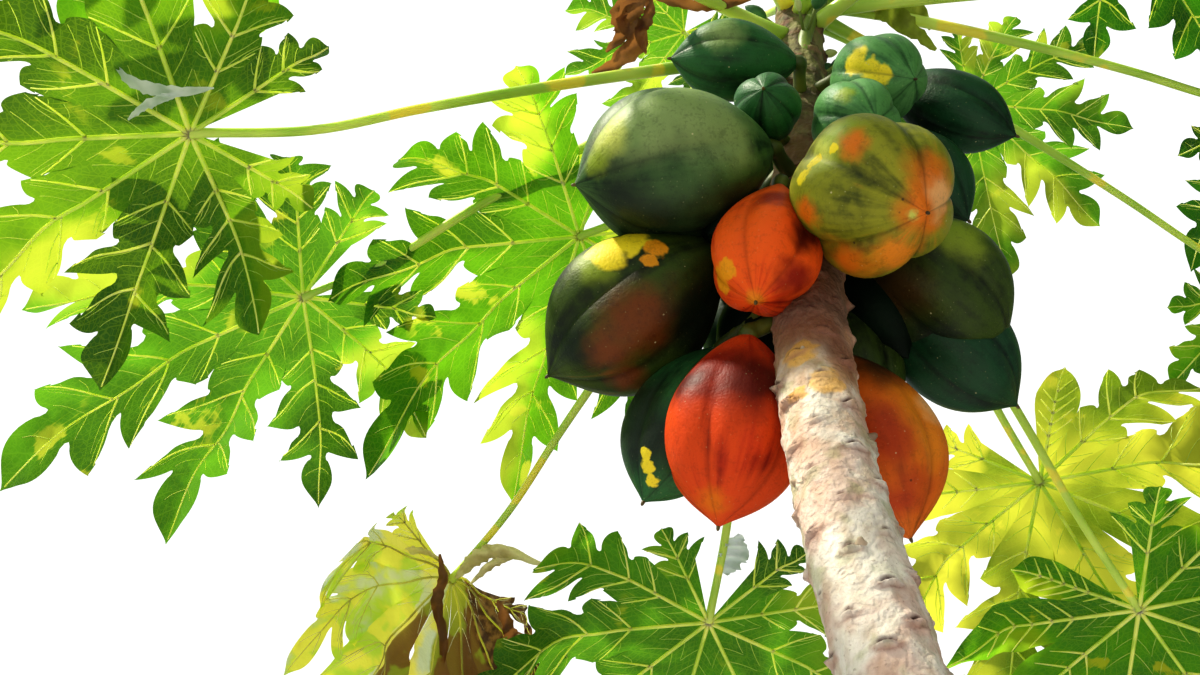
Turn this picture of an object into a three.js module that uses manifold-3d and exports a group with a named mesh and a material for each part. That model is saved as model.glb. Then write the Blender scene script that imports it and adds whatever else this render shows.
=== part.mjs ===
// A papaya tree in fruit, in millimetres, with +Z up. The origin is the middle of the trunk's flat foot,
// on level ground. One slim trunk carries a crown of long-stalked, hand-shaped leaves and, just under
// them, a crowded column of fruit.
import * as THREE from "three";
import { mergeVertices } from "three/addons/utils/BufferGeometryUtils.js";
import Module from "manifold-3d";

const wasm = await Module();
wasm.setup();

const CLEAR = 0.35; // gap between two pieces that touch
const SUNK = 6; // how far a stalk would reach into the trunk before it is cut clear of it

// The trunk leans one way up to the bend, and the crown rights itself above it.
const TRUNK = {
  height: 3440,
  bendHeight: 2500,
  bendLength: 150,
  leanBelow: 0.11,
  leanAbove: 0.09,
  radiusAtFoot: 70,
  radiusLost: 0.0118, // for each millimetre of height
  flare: 30,
  flareHeight: 110,
  toes: 5, // the foot swells into this many low buttresses
  toeDepth: 0.35,
  budHeight: 90, // the rounded growing tip
  budRadius: 14,
  sides: 12,
  flareLevels: [0, 30, 80, 160],
  rings: 18,
};

// The lobes on one side of a blade: the angle of each from the middle lobe, and its length as a share of
// that lobe.
const LOBES = [
  { angle: 0, reach: 1.0 },
  { angle: 37, reach: 0.96 },
  { angle: 74, reach: 0.87 },
  { angle: 110, reach: 0.7 },
  { angle: 143, reach: 0.46 },
];
const BLADE = {
  thickness: 7,
  slant: 50, // degrees between a lobe's rib and its side veins
  joined: 0.19, // where two neighbouring lobes part, along the ribs
  fold: 0.14, // how far the blade rises beside each rib
  droop: 0.42,
  jitter: 0.2, // how much the lobes of one leaf differ in length
  heel: 0.35, // half-width of the outermost lobes where they leave the stalk, as a share of joined
  shortLobe: 0.5, // a lobe with a smaller reach than this has fewer teeth
  apart: 0.7, // degrees that a lobe's teeth keep off the line midway to the next lobe
};
// A lobe's edge on one side: how far along the rib a side vein starts, and how far out the edge lies on it.
const TEETH = [
  { along: 0.36, out: 0.22 },
  { along: 0.48, out: 0.13 },
  { along: 0.54, out: 0.31 },
  { along: 0.73, out: 0.14 },
];
const STALK = {
  footRadius: 10,
  tipRadius: 5.2,
  sides: 5,
  steps: 6,
  hook: 38, // degrees that it turns up again just under the blade
  hookStart: 0.84,
};
const LEAF_HABIT = { rise: -4, sag: 20, length: 680, pitch: -20, blade: 385, droop: BLADE.droop };
const FRUIT = {
  sides: 10,
  rings: [0.03, 0.14, 0.32, 0.54, 0.74, 0.9], // shares of the length
  fullest: 0.54, // where it is widest, as a share of the length
  steep: 70, // one that droops more than this many degrees is fullest nearer its tip
  steepFullest: 0.64,
  fullness: 0.62, // the smaller, the fuller its shoulders
  ridge: 0.02, // how far its ridges stand out and its furrows sink, as shares of the radius
  furrow: 0.055,
  fullWidth: 180, // a fruit this wide has a full-sized stalk
  stalkRadius: 8,
  stalkSides: 5,
  stalkSunk: 0.12, // how far into the fruit its stalk reaches, as a share of the fruit's length
};

const BARK = 0xb9a894;
const LEAF = 0x5f9a2a;
const DRY = 0x8a6a3a;
const GREEN_FRUIT = 0x2f5a34;
const RIPE_FRUIT = 0xd8502a;

// The fruit in sight from below on the -Y side: the height and side of the trunk each hangs from, its stalk,
// how far it droops, and how far its neighbours push it round. Azimuths run from +X towards +Y. The lowest
// are ripest.
const FRUITS = [
  { foot: 2690, azimuth: 60, stalk: 36, droop: 61, swing: -5, length: 218, width: 143, ripe: 0.85 },
  { foot: 2665, azimuth: 170, stalk: 33, droop: 61, swing: -58, length: 213, width: 145, ripe: 1 },
  { foot: 2725, azimuth: 146, stalk: 84, droop: 58, swing: 0, length: 205, width: 118, ripe: 0 },
  { foot: 2865, azimuth: 233, stalk: 24, droop: 78, swing: -40, length: 235, width: 118, ripe: 0.95 },
  { foot: 2782, azimuth: 188, stalk: 62, droop: 23, swing: -38, length: 240, width: 172, ripe: 0.35 },
  { foot: 2822, azimuth: 349, stalk: 28, droop: 25, swing: 43, length: 212, width: 154, ripe: 0.1 },
  { foot: 2803, azimuth: 29, stalk: 60, droop: 26, swing: 6, length: 218, width: 130, ripe: 0 },
  { foot: 2846, azimuth: 276, stalk: 38, droop: 59, swing: 38, length: 218, width: 170, ripe: 0.45 },
  { foot: 2888, azimuth: 238, stalk: 46, droop: 22, swing: -55, length: 242, width: 184, ripe: 0.05 },
  { foot: 2960, azimuth: 230, stalk: 33, droop: 33, swing: 27, length: 109, width: 78, ripe: 0 },
  { foot: 2966, azimuth: 295, stalk: 34, droop: 55, swing: -5, length: 142, width: 98, ripe: 0 },
  { foot: 3085, azimuth: 308, stalk: 39, droop: 53, swing: 5, length: 156, width: 107, ripe: 0 },
  { foot: 3068, azimuth: 263, stalk: 38, droop: 0, swing: -81, length: 160, width: 101, ripe: 0 },
  { foot: 3045, azimuth: 355, stalk: 65, droop: 54, swing: 28, length: 170, width: 102, ripe: 0 },
  { foot: 3115, azimuth: 345, stalk: 80, droop: 33, swing: 22, length: 175, width: 98, ripe: 0 },
];
// The other side's fruit climb the trunk in turns, and are smaller and greener the higher they hang.
const FAR_FRUIT = { count: 8, lowest: 2835, climb: 46, azimuth: 70, spread: 76, turn: 0.618 };
for (let i = 0; i < FAR_FRUIT.count; i++) {
  const share = i / (FAR_FRUIT.count - 1);
  FRUITS.push({
    foot: FAR_FRUIT.lowest + FAR_FRUIT.climb * i,
    azimuth: FAR_FRUIT.azimuth + FAR_FRUIT.spread * ((i * FAR_FRUIT.turn) % 1),
    stalk: 44,
    droop: 62 - 34 * share,
    swing: 0,
    length: 208 - 88 * share,
    width: 130 - 50 * share,
    ripe: Math.max(0, 0.15 - share),
  });
}

// The leaves in sight from there: the height and side where each stalk leaves the trunk, how it rises and
// sags, and its blade.
const LEAVES = [
  { foot: 3205, azimuth: 190, rise: -27, sag: 10, length: 796, blade: 440 },
  { foot: 3227, azimuth: 164, rise: -18, length: 714 },
  { foot: 3032, azimuth: 146, rise: 10, sag: 15, length: 310, blade: 400 },
  { foot: 3053, azimuth: 133, rise: -22, length: 714, blade: 340, pitch: -78, withered: true, droop: 1.1 },
  { foot: 3132, azimuth: 104, rise: -38, length: 680 },
  { foot: 3182, azimuth: 50, rise: -30, length: 814, blade: 430 },
  { foot: 3207, azimuth: 54, rise: -26, length: 637, blade: 400 },
  { foot: 3345, azimuth: 22, rise: -18, sag: 20, length: 760, blade: 365 },
  { foot: 3365, azimuth: 6, rise: -6, sag: 26, length: 680 },
  { foot: 3330, azimuth: 350, rise: -4, sag: 16, length: 660 },
  { foot: 3330, azimuth: 35, rise: 20, sag: 12, length: 350, blade: 265 },
  { foot: 3350, azimuth: 338, rise: 4, sag: 14, length: 430, blade: 360 },
];
// The other leaves stand round the rest of the crown, out of step with one another in height and rise.
const NEAR_LEAVES = {
  count: 7,
  azimuth: 214,
  step: 20,
  lowest: 3235,
  climb: 24,
  rise: -12,
  lift: 7,
  stride: 3,
};
for (let i = 0; i < NEAR_LEAVES.count; i++) {
  const rank = (i * NEAR_LEAVES.stride) % NEAR_LEAVES.count;
  LEAVES.push({
    foot: NEAR_LEAVES.lowest + NEAR_LEAVES.climb * rank,
    azimuth: NEAR_LEAVES.azimuth + NEAR_LEAVES.step * i,
    rise: NEAR_LEAVES.rise + NEAR_LEAVES.lift * rank,
    length: 740 - 24 * rank,
  });
}
// Young leaves stand nearly upright round the growing tip.
const YOUNG_LEAVES = { count: 3, lowest: 3392, climb: 12, azimuth: 120, turn: 137.5 };
for (let i = 0; i < YOUNG_LEAVES.count; i++) {
  LEAVES.push({
    foot: YOUNG_LEAVES.lowest + YOUNG_LEAVES.climb * i,
    azimuth: YOUNG_LEAVES.azimuth + YOUNG_LEAVES.turn * i,
    rise: 46 + 10 * i,
    sag: -6,
    length: 420 - 90 * i,
    blade: 230 - 50 * i,
    pitch: 10,
    droop: 0.2,
  });
}

const rad = THREE.MathUtils.degToRad;
const mix = THREE.MathUtils.lerp;
const UP = new THREE.Vector3(0, 0, 1);

// A repeatable random share from 0 to 1 for a pair of whole numbers.
function chance(a, b) {
  const x = Math.sin(a * 12.9898 + b * 78.233) * 43758.5453;
  return x - Math.floor(x);
}

// Unit vector at an azimuth from +X and a rise above the horizon, both in degrees.
function heading(azimuth, rise) {
  const a = rad(azimuth);
  const e = rad(rise);
  return new THREE.Vector3(Math.cos(a) * Math.cos(e), Math.sin(a) * Math.cos(e), Math.sin(e));
}

function leanAt(z) {
  const { bendHeight, bendLength, leanBelow, leanAbove } = TRUNK;
  const turn = (leanBelow + leanAbove) / 2;
  const drift = (leanAbove - leanBelow) / 2;
  const from = z - bendHeight;
  return drift * from + turn * Math.hypot(from, bendLength);
}

function trunkCentre(z) {
  return new THREE.Vector3(leanAt(z) - leanAt(0), 0, z);
}

function trunkRadius(z, azimuth = 0) {
  const { height, radiusAtFoot, radiusLost, budHeight, budRadius } = TRUNK;
  const plain = radiusAtFoot - radiusLost * z;
  const toes = 1 + TRUNK.toeDepth * Math.cos(TRUNK.toes * azimuth);
  const foot = TRUNK.flare * toes * Math.exp(-z / TRUNK.flareHeight);
  const bud = Math.max(0, (z - (height - budHeight)) / budHeight);
  return mix(plain + foot, budRadius, bud * bud);
}

// A closed mesh from points and triangles as a solid that can be cut and joined.
function solidFrom(points, triangles) {
  const geometry = new THREE.BufferGeometry().setFromPoints(points);
  geometry.setIndex(triangles);
  return solidOf(geometry);
}

function solidOf(geometry) {
  const bare = geometry.clone();
  bare.deleteAttribute("normal");
  bare.deleteAttribute("uv");
  const merged = mergeVertices(bare, 1e-3);
  return new wasm.Manifold(
    new wasm.Mesh({
      numProp: 3,
      vertProperties: merged.attributes.position.array,
      triVerts: new Uint32Array(merged.index.array),
    }),
  );
}

// The largest closed body of a solid: a scrap that a cut leaves loose is dropped.
function largest(solid) {
  return solid.decompose().sort((a, b) => b.volume() - a.volume())[0];
}

function geometryOf(solid) {
  const mesh = solid.getMesh();
  const stride = mesh.numProp;
  const positions = new Float32Array(mesh.numVert * 3);
  for (let i = 0; i < mesh.numVert; i++) {
    positions.set(mesh.vertProperties.subarray(i * stride, i * stride + 3), i * 3);
  }
  const geometry = new THREE.BufferGeometry();
  geometry.setAttribute("position", new THREE.BufferAttribute(positions, 3));
  geometry.setIndex(new THREE.BufferAttribute(mesh.triVerts, 1));
  geometry.computeVertexNormals();
  return geometry;
}

// Closed skin over rings of points, with a middle point at each end. Each ring turns anticlockwise about
// the axis.
function skinRings(rings, start, end) {
  const sides = rings[0].length;
  const points = [start, ...rings.flat(), end];
  const last = points.length - 1;
  const at = (ring, side) => 1 + ring * sides + (side % sides);
  const triangles = [];
  for (let side = 0; side < sides; side++) {
    triangles.push(0, at(0, side + 1), at(0, side));
    triangles.push(last, at(rings.length - 1, side), at(rings.length - 1, side + 1));
    for (let ring = 0; ring + 1 < rings.length; ring++) {
      const [a, b] = [at(ring, side), at(ring, side + 1)];
      const [c, d] = [at(ring + 1, side + 1), at(ring + 1, side)];
      triangles.push(a, b, c, a, c, d);
    }
  }
  return solidFrom(points, triangles);
}

// Round tube through a list of centres, with a radius at each.
function tube(centres, radii, sides) {
  const rings = centres.map((centre, i) => {
    const next = centres[Math.min(i + 1, centres.length - 1)];
    const before = centres[Math.max(i - 1, 0)];
    const along = next.clone().sub(before).normalize();
    const across = new THREE.Vector3().crossVectors(along, UP);
    if (across.length() < 0.05) across.set(1, 0, 0);
    across.normalize();
    const over = new THREE.Vector3().crossVectors(across, along).normalize();
    return Array.from({ length: sides }, (_, k) => {
      const turn = (k / sides) * Math.PI * 2;
      return centre
        .clone()
        .addScaledVector(over, radii[i] * Math.cos(turn))
        .addScaledVector(across, radii[i] * Math.sin(turn));
    });
  });
  return skinRings(rings, centres[0], centres[centres.length - 1]);
}

function trunkSolid(extra = 0) {
  const { height, sides, rings, flareLevels } = TRUNK;
  const levels = [...flareLevels];
  const from = levels[levels.length - 1];
  for (let i = 1; i <= rings; i++) levels.push(mix(from, height, i / rings));
  const loops = levels.map((z) =>
    Array.from({ length: sides }, (_, k) => {
      const turn = (k / sides) * Math.PI * 2;
      const r = trunkRadius(z, turn) + extra;
      return trunkCentre(z).add(new THREE.Vector3(r * Math.cos(turn), r * Math.sin(turn), 0));
    }),
  );
  const tip = trunkCentre(height).add(new THREE.Vector3(0, 0, TRUNK.budRadius / 2 + extra));
  return skinRings(loops, trunkCentre(0), tip);
}

// Points down a leaf's stalk: it sets off at rise degrees, sags evenly, and hooks up under its blade.
function stalkPath({ azimuth, foot, rise, length, sag }) {
  const { steps } = STALK;
  const path = [trunkCentre(foot).addScaledVector(heading(azimuth, 0), trunkRadius(foot) - SUNK)];
  for (let i = 0; i < steps; i++) {
    const share = (i + 0.5) / steps;
    const hook = STALK.hook * Math.max(0, (share - STALK.hookStart) / (1 - STALK.hookStart));
    const step = heading(azimuth, rise - sag * share + hook);
    path.push(path[i].clone().addScaledVector(step, length / steps));
  }
  return path;
}

// The blade's own directions: forward along its middle rib, to its left, and up out of its top.
function bladeFrame({ azimuth, turn = 0, pitch, bank = 0 }) {
  const forward = heading(azimuth + turn, pitch);
  const level = new THREE.Vector3().crossVectors(UP, forward).normalize();
  const top = new THREE.Vector3().crossVectors(forward, level);
  level.applyAxisAngle(forward, rad(bank));
  top.applyAxisAngle(forward, rad(bank));
  return { forward, left: level, top };
}

// Every lobe of one leaf, from the right-hand base round to the left-hand base.
function lobesOf(leaf) {
  const right = LOBES.slice(1).map((lobe) => ({ ...lobe, angle: -lobe.angle }));
  return [...right.reverse(), ...LOBES].map((lobe, i) => ({
    ...lobe,
    length: leaf.blade * lobe.reach * (1 + BLADE.jitter * (chance(leaf.index, i) - 0.5)),
    droop: leaf.droop * (0.6 + 0.8 * chance(leaf.index, i + 20)),
  }));
}

// A point of the blade's middle surface: along a lobe's rib, then out along a side vein.
function bladePoint(centre, frame, lobe, along, out, side) {
  const rib = rad(lobe.angle);
  const vein = rad(lobe.angle + side * BLADE.slant);
  const x = along * Math.cos(rib) + out * Math.cos(vein);
  const y = along * Math.sin(rib) + out * Math.sin(vein);
  const beside = out * Math.sin(rad(BLADE.slant));
  const past = Math.max(0, Math.hypot(x, y) / lobe.length - BLADE.joined);
  const shorter = 1 - 0.25 * lobe.droop * past;
  return centre
    .clone()
    .addScaledVector(frame.forward, x * shorter)
    .addScaledVector(frame.left, y * shorter)
    .addScaledVector(frame.top, beside * BLADE.fold)
    .addScaledVector(UP, -lobe.droop * lobe.length * past * past);
}

// How far out a side vein meets a line at a bearing from the rib, for each millimetre along the rib that it
// starts.
function widest(bearing) {
  return Math.sin(rad(bearing)) / Math.sin(rad(BLADE.slant - bearing));
}

// The whole blade: nine toothed lobes that part from one another a fifth of the way out.
function bladeSolid(leaf, centre, extra) {
  const frame = bladeFrame(leaf);
  const lobes = lobesOf(leaf);
  const shared = BLADE.joined * leaf.blade;
  const middle = [centre.clone()];
  const place = (lobe, along, out, side) => {
    middle.push(bladePoint(centre, frame, lobe, along, out, side));
    return middle.length - 1;
  };
  const parting = lobes.slice(1).map((lobe, i) => {
    const half = (lobe.angle - lobes[i].angle) / 2;
    return place(lobe, shared, shared * widest(half), -1);
  });
  const faces = [];
  const rims = [];
  lobes.forEach((lobe, i) => {
    const first = parting[i - 1] ?? place(lobe, shared, shared * BLADE.heel, -1);
    const last = parting[i] ?? place(lobe, shared, shared * BLADE.heel, 1);
    const teeth = lobe.reach < BLADE.shortLobe ? TEETH.slice(2) : TEETH;
    const edge = (side) => {
      const neighbour = lobes[i + side];
      const room = neighbour ? widest(Math.abs(neighbour.angle - lobe.angle) / 2 - BLADE.apart) : 1;
      return teeth.map(({ along, out }) =>
        place(lobe, along * lobe.length, Math.min(out, along * room) * lobe.length, side),
      );
    };
    const right = [first, ...edge(-1)];
    const left = [last, ...edge(1)];
    const tip = place(lobe, lobe.length, 0, 1);
    faces.push([0, right[0], left[0]]);
    for (let k = 0; k < teeth.length; k++) {
      faces.push([right[k], right[k + 1], left[k + 1]], [right[k], left[k + 1], left[k]]);
    }
    faces.push([right[teeth.length], tip, left[teeth.length]]);
    rims.push(...right, tip, ...left.reverse());
  });
  const rim = [0, ...rims].filter((point, i, all) => point !== all[i - 1]);
  return sheetSolid(middle, faces, rim, frame.top, BLADE.thickness + 2 * extra);
}

// A closed sheet: its middle surface moved half the thickness each way, and walled in along its rim.
function sheetSolid(middle, faces, rim, normal, thickness) {
  const count = middle.length;
  const lift = normal.clone().multiplyScalar(thickness / 2);
  const points = [...middle.map((p) => p.clone().add(lift)), ...middle.map((p) => p.clone().sub(lift))];
  const triangles = [];
  for (const [a, b, c] of faces) triangles.push(a, b, c, a + count, c + count, b + count);
  rim.forEach((a, i) => {
    const b = rim[(i + 1) % rim.length];
    triangles.push(a, a + count, b + count, a, b + count, b);
  });
  return solidFrom(points, triangles);
}

function leafSolid(leaf, extra = 0) {
  const path = stalkPath(leaf);
  const slimmer = Math.min(1, leaf.blade / LEAF_HABIT.blade);
  const radii = path.map((_, i) => extra + slimmer * mix(STALK.footRadius, STALK.tipRadius, i / STALK.steps));
  const centre = path[path.length - 1];
  return tube(path, radii, STALK.sides).add(bladeSolid(leaf, centre, extra));
}

// Radius of a fruit at a share of its length from stalk to tip, before its ribs: full, then drawn to a point.
function fruitRadius(share, { width, droop }) {
  const fullest = droop > FRUIT.steep ? FRUIT.steepFullest : FRUIT.fullest;
  const swell = Math.log(0.5) / Math.log(fullest);
  const pointed = FRUIT.fullness + 0.5 * share ** 8;
  return (width / 2) * Math.sin(Math.PI * share ** swell) ** pointed;
}

// Where a fruit hangs: its stalk's foot on the trunk, the stalk's end, and the way the fruit points.
function fruitPose({ azimuth, foot, droop, swing, stalk }) {
  const root = trunkCentre(foot).addScaledVector(heading(azimuth, 0), trunkRadius(foot) - SUNK);
  const start = root.clone().addScaledVector(heading(azimuth, -droop / 2), stalk + SUNK);
  return { root, start, axis: heading(azimuth + swing, -droop) };
}

function fruitSolid(fruit, extra = 0) {
  const { root, start, axis } = fruitPose(fruit);
  const across = new THREE.Vector3().crossVectors(axis, UP).normalize();
  const over = new THREE.Vector3().crossVectors(across, axis).normalize();
  const roll = chance(fruit.index, 0) * Math.PI * 2;
  const rings = FRUIT.rings.map((share) =>
    Array.from({ length: FRUIT.sides }, (_, k) => {
      const turn = (k / FRUIT.sides) * Math.PI * 2;
      const rib = 1 + (k % 2 ? -FRUIT.furrow : FRUIT.ridge);
      const r = fruitRadius(share, fruit) * rib + extra;
      return start
        .clone()
        .addScaledVector(axis, share * fruit.length)
        .addScaledVector(over, r * Math.cos(turn + roll))
        .addScaledVector(across, r * Math.sin(turn + roll));
    }),
  );
  const tip = start.clone().addScaledVector(axis, fruit.length + extra);
  const body = skinRings(rings, start.clone().addScaledVector(axis, -extra), tip);
  const inside = start.clone().addScaledVector(axis, FRUIT.stalkSunk * fruit.length);
  const thick = FRUIT.stalkRadius * Math.min(1, 0.3 + fruit.width / FRUIT.fullWidth) + extra;
  return body.add(tube([root, start, inside], [thick, thick, thick], FRUIT.stalkSides));
}

// Every fruit and leaf gives way to what was made before it, a hair's breadth clear.
const made = [];
function growPiece(build, piece) {
  const box = build(piece, CLEAR);
  let solid = build(piece);
  for (const earlier of made) {
    if (overlaps(earlier, box)) solid = solid.subtract(earlier);
  }
  made.push(box);
  return largest(solid);
}

// Whether the boxes round two solids meet.
function overlaps(one, other) {
  const a = one.boundingBox();
  const b = other.boundingBox();
  return [0, 1, 2].every((i) => a.min[i] < b.max[i] && b.min[i] < a.max[i]);
}

const tree = new THREE.Group();
function addPiece(name, solid, color, roughness) {
  const finish = new THREE.MeshStandardMaterial({ color, roughness, metalness: 0 });
  const mesh = new THREE.Mesh(geometryOf(solid), finish);
  mesh.name = name;
  tree.add(mesh);
}

addPiece("trunk", trunkSolid(), BARK, 0.9);
made.push(trunkSolid(CLEAR));

FRUITS.forEach((fruit, i) => {
  const skin = new THREE.Color(GREEN_FRUIT).lerp(new THREE.Color(RIPE_FRUIT), fruit.ripe);
  addPiece(`fruit_${i + 1}`, growPiece(fruitSolid, { ...fruit, index: i }), skin, 0.4);
});

LEAVES.forEach((leaf, i) => {
  const solid = growPiece(leafSolid, { ...LEAF_HABIT, ...leaf, index: i });
  addPiece(`leaf_${i + 1}`, solid, leaf.withered ? DRY : LEAF, 0.5);
});

export default tree;
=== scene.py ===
# A papaya tree in fruit, in metres, with +Z up, seen from below and to one side. The trunk, fruit and leaves
# are grown by the same rules and sizes as the solids they stand for, and carried to finer bark, skin and
# blades.
import math
import random

import bpy
import numpy as np
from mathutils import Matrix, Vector, noise
from mathutils.geometry import delaunay_2d_cdt


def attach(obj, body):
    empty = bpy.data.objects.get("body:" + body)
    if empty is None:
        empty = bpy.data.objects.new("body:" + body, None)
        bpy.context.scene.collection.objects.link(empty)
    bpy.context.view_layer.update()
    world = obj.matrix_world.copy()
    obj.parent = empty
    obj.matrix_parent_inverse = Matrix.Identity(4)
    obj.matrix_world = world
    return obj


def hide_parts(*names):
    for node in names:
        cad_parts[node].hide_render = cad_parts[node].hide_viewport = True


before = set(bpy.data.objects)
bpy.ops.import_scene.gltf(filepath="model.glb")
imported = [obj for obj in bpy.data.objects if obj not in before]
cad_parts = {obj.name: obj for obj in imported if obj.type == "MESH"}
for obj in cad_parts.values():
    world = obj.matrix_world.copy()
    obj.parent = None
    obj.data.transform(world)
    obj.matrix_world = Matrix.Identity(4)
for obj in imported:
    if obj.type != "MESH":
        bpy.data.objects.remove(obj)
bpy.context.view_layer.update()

UP = np.array((0.0, 0.0, 1.0))

# The view from below: where the eye is, its turn up from straight down in degrees, the millimetres of its
# lens and film, and the pixels of the picture.
EYE = np.array((-0.476, -0.987, 1.450))
TILT = 140
LENS = 44.55
FILM = 36
PICTURE = (1200, 675)

# The trunk leans one way up to a bend and a little the other way above it. Its foot swells into low toes.
TRUNK = {
    "height": 3.44,
    "bend_height": 2.5,
    "bend_length": 0.15,
    "lean_below": 0.11,
    "lean_above": 0.09,
    "radius_at_foot": 0.07,
    "radius_lost": 0.0118,
    "flare": 0.03,
    "flare_height": 0.11,
    "toes": 5,
    "toe_depth": 0.35,
    "bud_height": 0.09,
    "bud_radius": 0.014,
}
# The leaf scars climb the trunk in a spiral, some bolder than others. Each is a low knob with a rim, and on
# it a pit over a lip, with a hollow under that. The last five are how far these stand out or lie in.
SCARS = {
    "seed": 11,
    "pitch": 0.0078,
    "turn": 137.5,
    "half_width": 0.0135,
    "half_height": 0.0075,
    "bold": (0.4, 0.75, 0.9, 1.05, 1.25),
    "knob": 0.0036,
    "rim": 0.0018,
    "lip": 0.0044,
    "pit": 0.0055,
    "hollow": 0.0018,
}
# The stretch of trunk with the finest mesh, the bark's two steps up the trunk, and the points round it.
FINE_BARK = (2.15, 3.1)
BARK_STEP = {"fine": 0.0023, "coarse": 0.0042}
TRUNK_SIDES = 96

# The middle lobe of a blade and those to one side of it: the degrees of each from the middle one, and its
# reach as a share of that one's.
LOBES = ((0, 1.0), (37, 0.96), (74, 0.87), (110, 0.7), (143, 0.46))
# The slant of a blade's side veins in degrees, and its other measures as shares of its reach or of a lobe's.
BLADE = {
    "slant": 50,
    "joined": 0.19,
    "hub": 0.28,
    "fold": 0.14,
    "droop": 0.53,
    "jitter": 0.2,
    "heel": 0.35,
    "short_lobe": 0.5,
    "overlap": 1.12,
    "sweep": 0.35,
    "sweep_from": 0.12,
    "vein_bow": 0.12,
    "quilt": 0.034,
    "ripple": 0.035,
}
# The side lobes up a lobe: where the vein of each leaves the rib, how far out its tip lies, and the slot
# beyond it with its depth, all as shares of the lobe's length.
SIDE_LOBES = (
    {"root": 0.27, "tip": 0.22, "slot": 0.38, "depth": 0.125},
    {"root": 0.44, "tip": 0.32, "slot": 0.565, "depth": 0.12},
    {"root": 0.635, "tip": 0.255, "slot": 0.755, "depth": 0.085},
)
# The radius of each kind of vein at its root and at its end, and its sides.
VEINS = {"rib": (0.0028, 0.0008, 6), "side": (0.0017, 0.0006, 5), "fine": (0.0007, 0.0004, 3)}
# Where fine branches leave a side vein, and whether they turn to the lobe's tip or to its root.
BRANCHES = ((0.2, 1), (0.36, -1), (0.52, 1), (0.7, -1))
# Fine veins near a lobe's hub and near its tip, and the veins of a lobe with no side lobes: where each leaves
# the rib and how far out it goes.
HUB_VEINS = ((0.11, 0.075), (0.17, 0.1))
TIP_VEIN = (0.84, 0.07)
UNCUT_VEINS = tuple((root, 0.3) for root in (0.28, 0.37, 0.46, 0.55, 0.64, 0.73))
# Where veins leave the rib of a lobe. The blade lies flat along these and swells between each two.
VEIN_ROOTS = (0.12, 0.22, *(part["root"] for part in SIDE_LOBES), 1.0)
# The width of a slot, and how full the edge is past a lobe's last slot, or all along a lobe with no slots.
SLOT_WIDTH = 0.026
LOBE_END = 0.075
UNCUT_FULLNESS = 0.11
# The metres between the finest veins: those that run beside the side veins, and those that cross them.
VEIN_GAP = 0.021
LADDER_GAP = 0.0085
# A withered blade is folded shut about its middle, and curled.
WITHERED = {"left_shut": 0.2, "right_shut": 0.34, "curl": 0.05, "rolled": 0.5}
# A leaf's stalk: its radii, its steps as a bent line, its mesh, and the hook at its end, up to the blade.
STALK = {
    "foot_radius": 0.010,
    "tip_radius": 0.0052,
    "steps": 6,
    "rings": 44,
    "sides": 12,
    "hook": 38,
    "hook_start": 0.84,
    "sunk": 0.006,
}
# What a leaf has where its own row says nothing else: the stalk's sag, the blade's pitch and its reach from
# the stalk, and how much it droops beside the others.
HABIT = {"sag": 20, "pitch": -20, "blade": 0.385, "droop": 1.0}


def graded(table, steps):
    """What a table gives as a start and a step, after so many steps."""
    return {name: start + step * steps for name, (start, step) in table.items()}


# Where each leaf's stalk leaves the trunk, its azimuth, rise and length, the blade's tint, and what this leaf
# has of its own.
LEAF_VALUES = ("foot", "azimuth", "rise", "length", "tint")
LEAVES = [{**dict(zip(LEAF_VALUES, row)), **own} for *row, own in (
    (3.205, 190, -27, 0.796, "mellow", {"sag": 10, "blade": 0.440}),
    (3.227, 164, -18, 0.714, "fresh", {}),
    (3.032, 146, 10, 0.310, "bright", {"sag": 15, "blade": 0.400}),
    (3.053, 133, -22, 0.714, "withered", {"blade": 0.340, "pitch": -78, "droop": 2.62}),
    (3.132, 104, -38, 0.680, "fresh", {}),
    (3.182, 50, -30, 0.814, "bright", {"blade": 0.430, "uncut": (6, 7, 8)}),
    (3.207, 54, -26, 0.637, "sunlit", {"blade": 0.400, "uncut": (0, 3, 7)}),
    (3.345, 22, -18, 0.760, "bright", {"blade": 0.340}),
    (3.365, 6, -6, 0.680, "deep", {"sag": 26}),
    (3.330, 350, -4, 0.660, "deep", {"sag": 16}),
    (3.330, 35, 20, 0.350, "fresh", {"sag": 12, "blade": 0.265}),
    (3.350, 338, 4, 0.430, "deep", {"sag": 14, "blade": 0.360}),
)]
# Leaves on the near side, in even steps round the trunk, with their heights dealt out of turn.
NEAR_RING = {"count": 7, "azimuth": 214, "step": 20, "stride": 3}
NEAR_LEAVES = {"foot": (3.235, 0.024), "rise": (-12, 7), "length": (0.740, -0.024)}
for i in range(NEAR_RING["count"]):
    azimuth = NEAR_RING["azimuth"] + NEAR_RING["step"] * i
    rank = i * NEAR_RING["stride"] % NEAR_RING["count"]
    tint = ("bright", "fresh", "deep")[rank % 3]
    LEAVES.append({"azimuth": azimuth, "tint": tint, **graded(NEAR_LEAVES, rank)})
# Young leaves that stand up round the tip.
YOUNG_COUNT = 3
YOUNG_LEAVES = {
    "foot": (3.392, 0.012),
    "azimuth": (120, 137.5),
    "rise": (46, 10),
    "length": (0.420, -0.090),
    "blade": (0.230, -0.050),
}
for i in range(YOUNG_COUNT):
    LEAVES.append({"sag": -6, "pitch": 10, "droop": 0.48, "tint": "fresh", **graded(YOUNG_LEAVES, i)})

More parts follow.
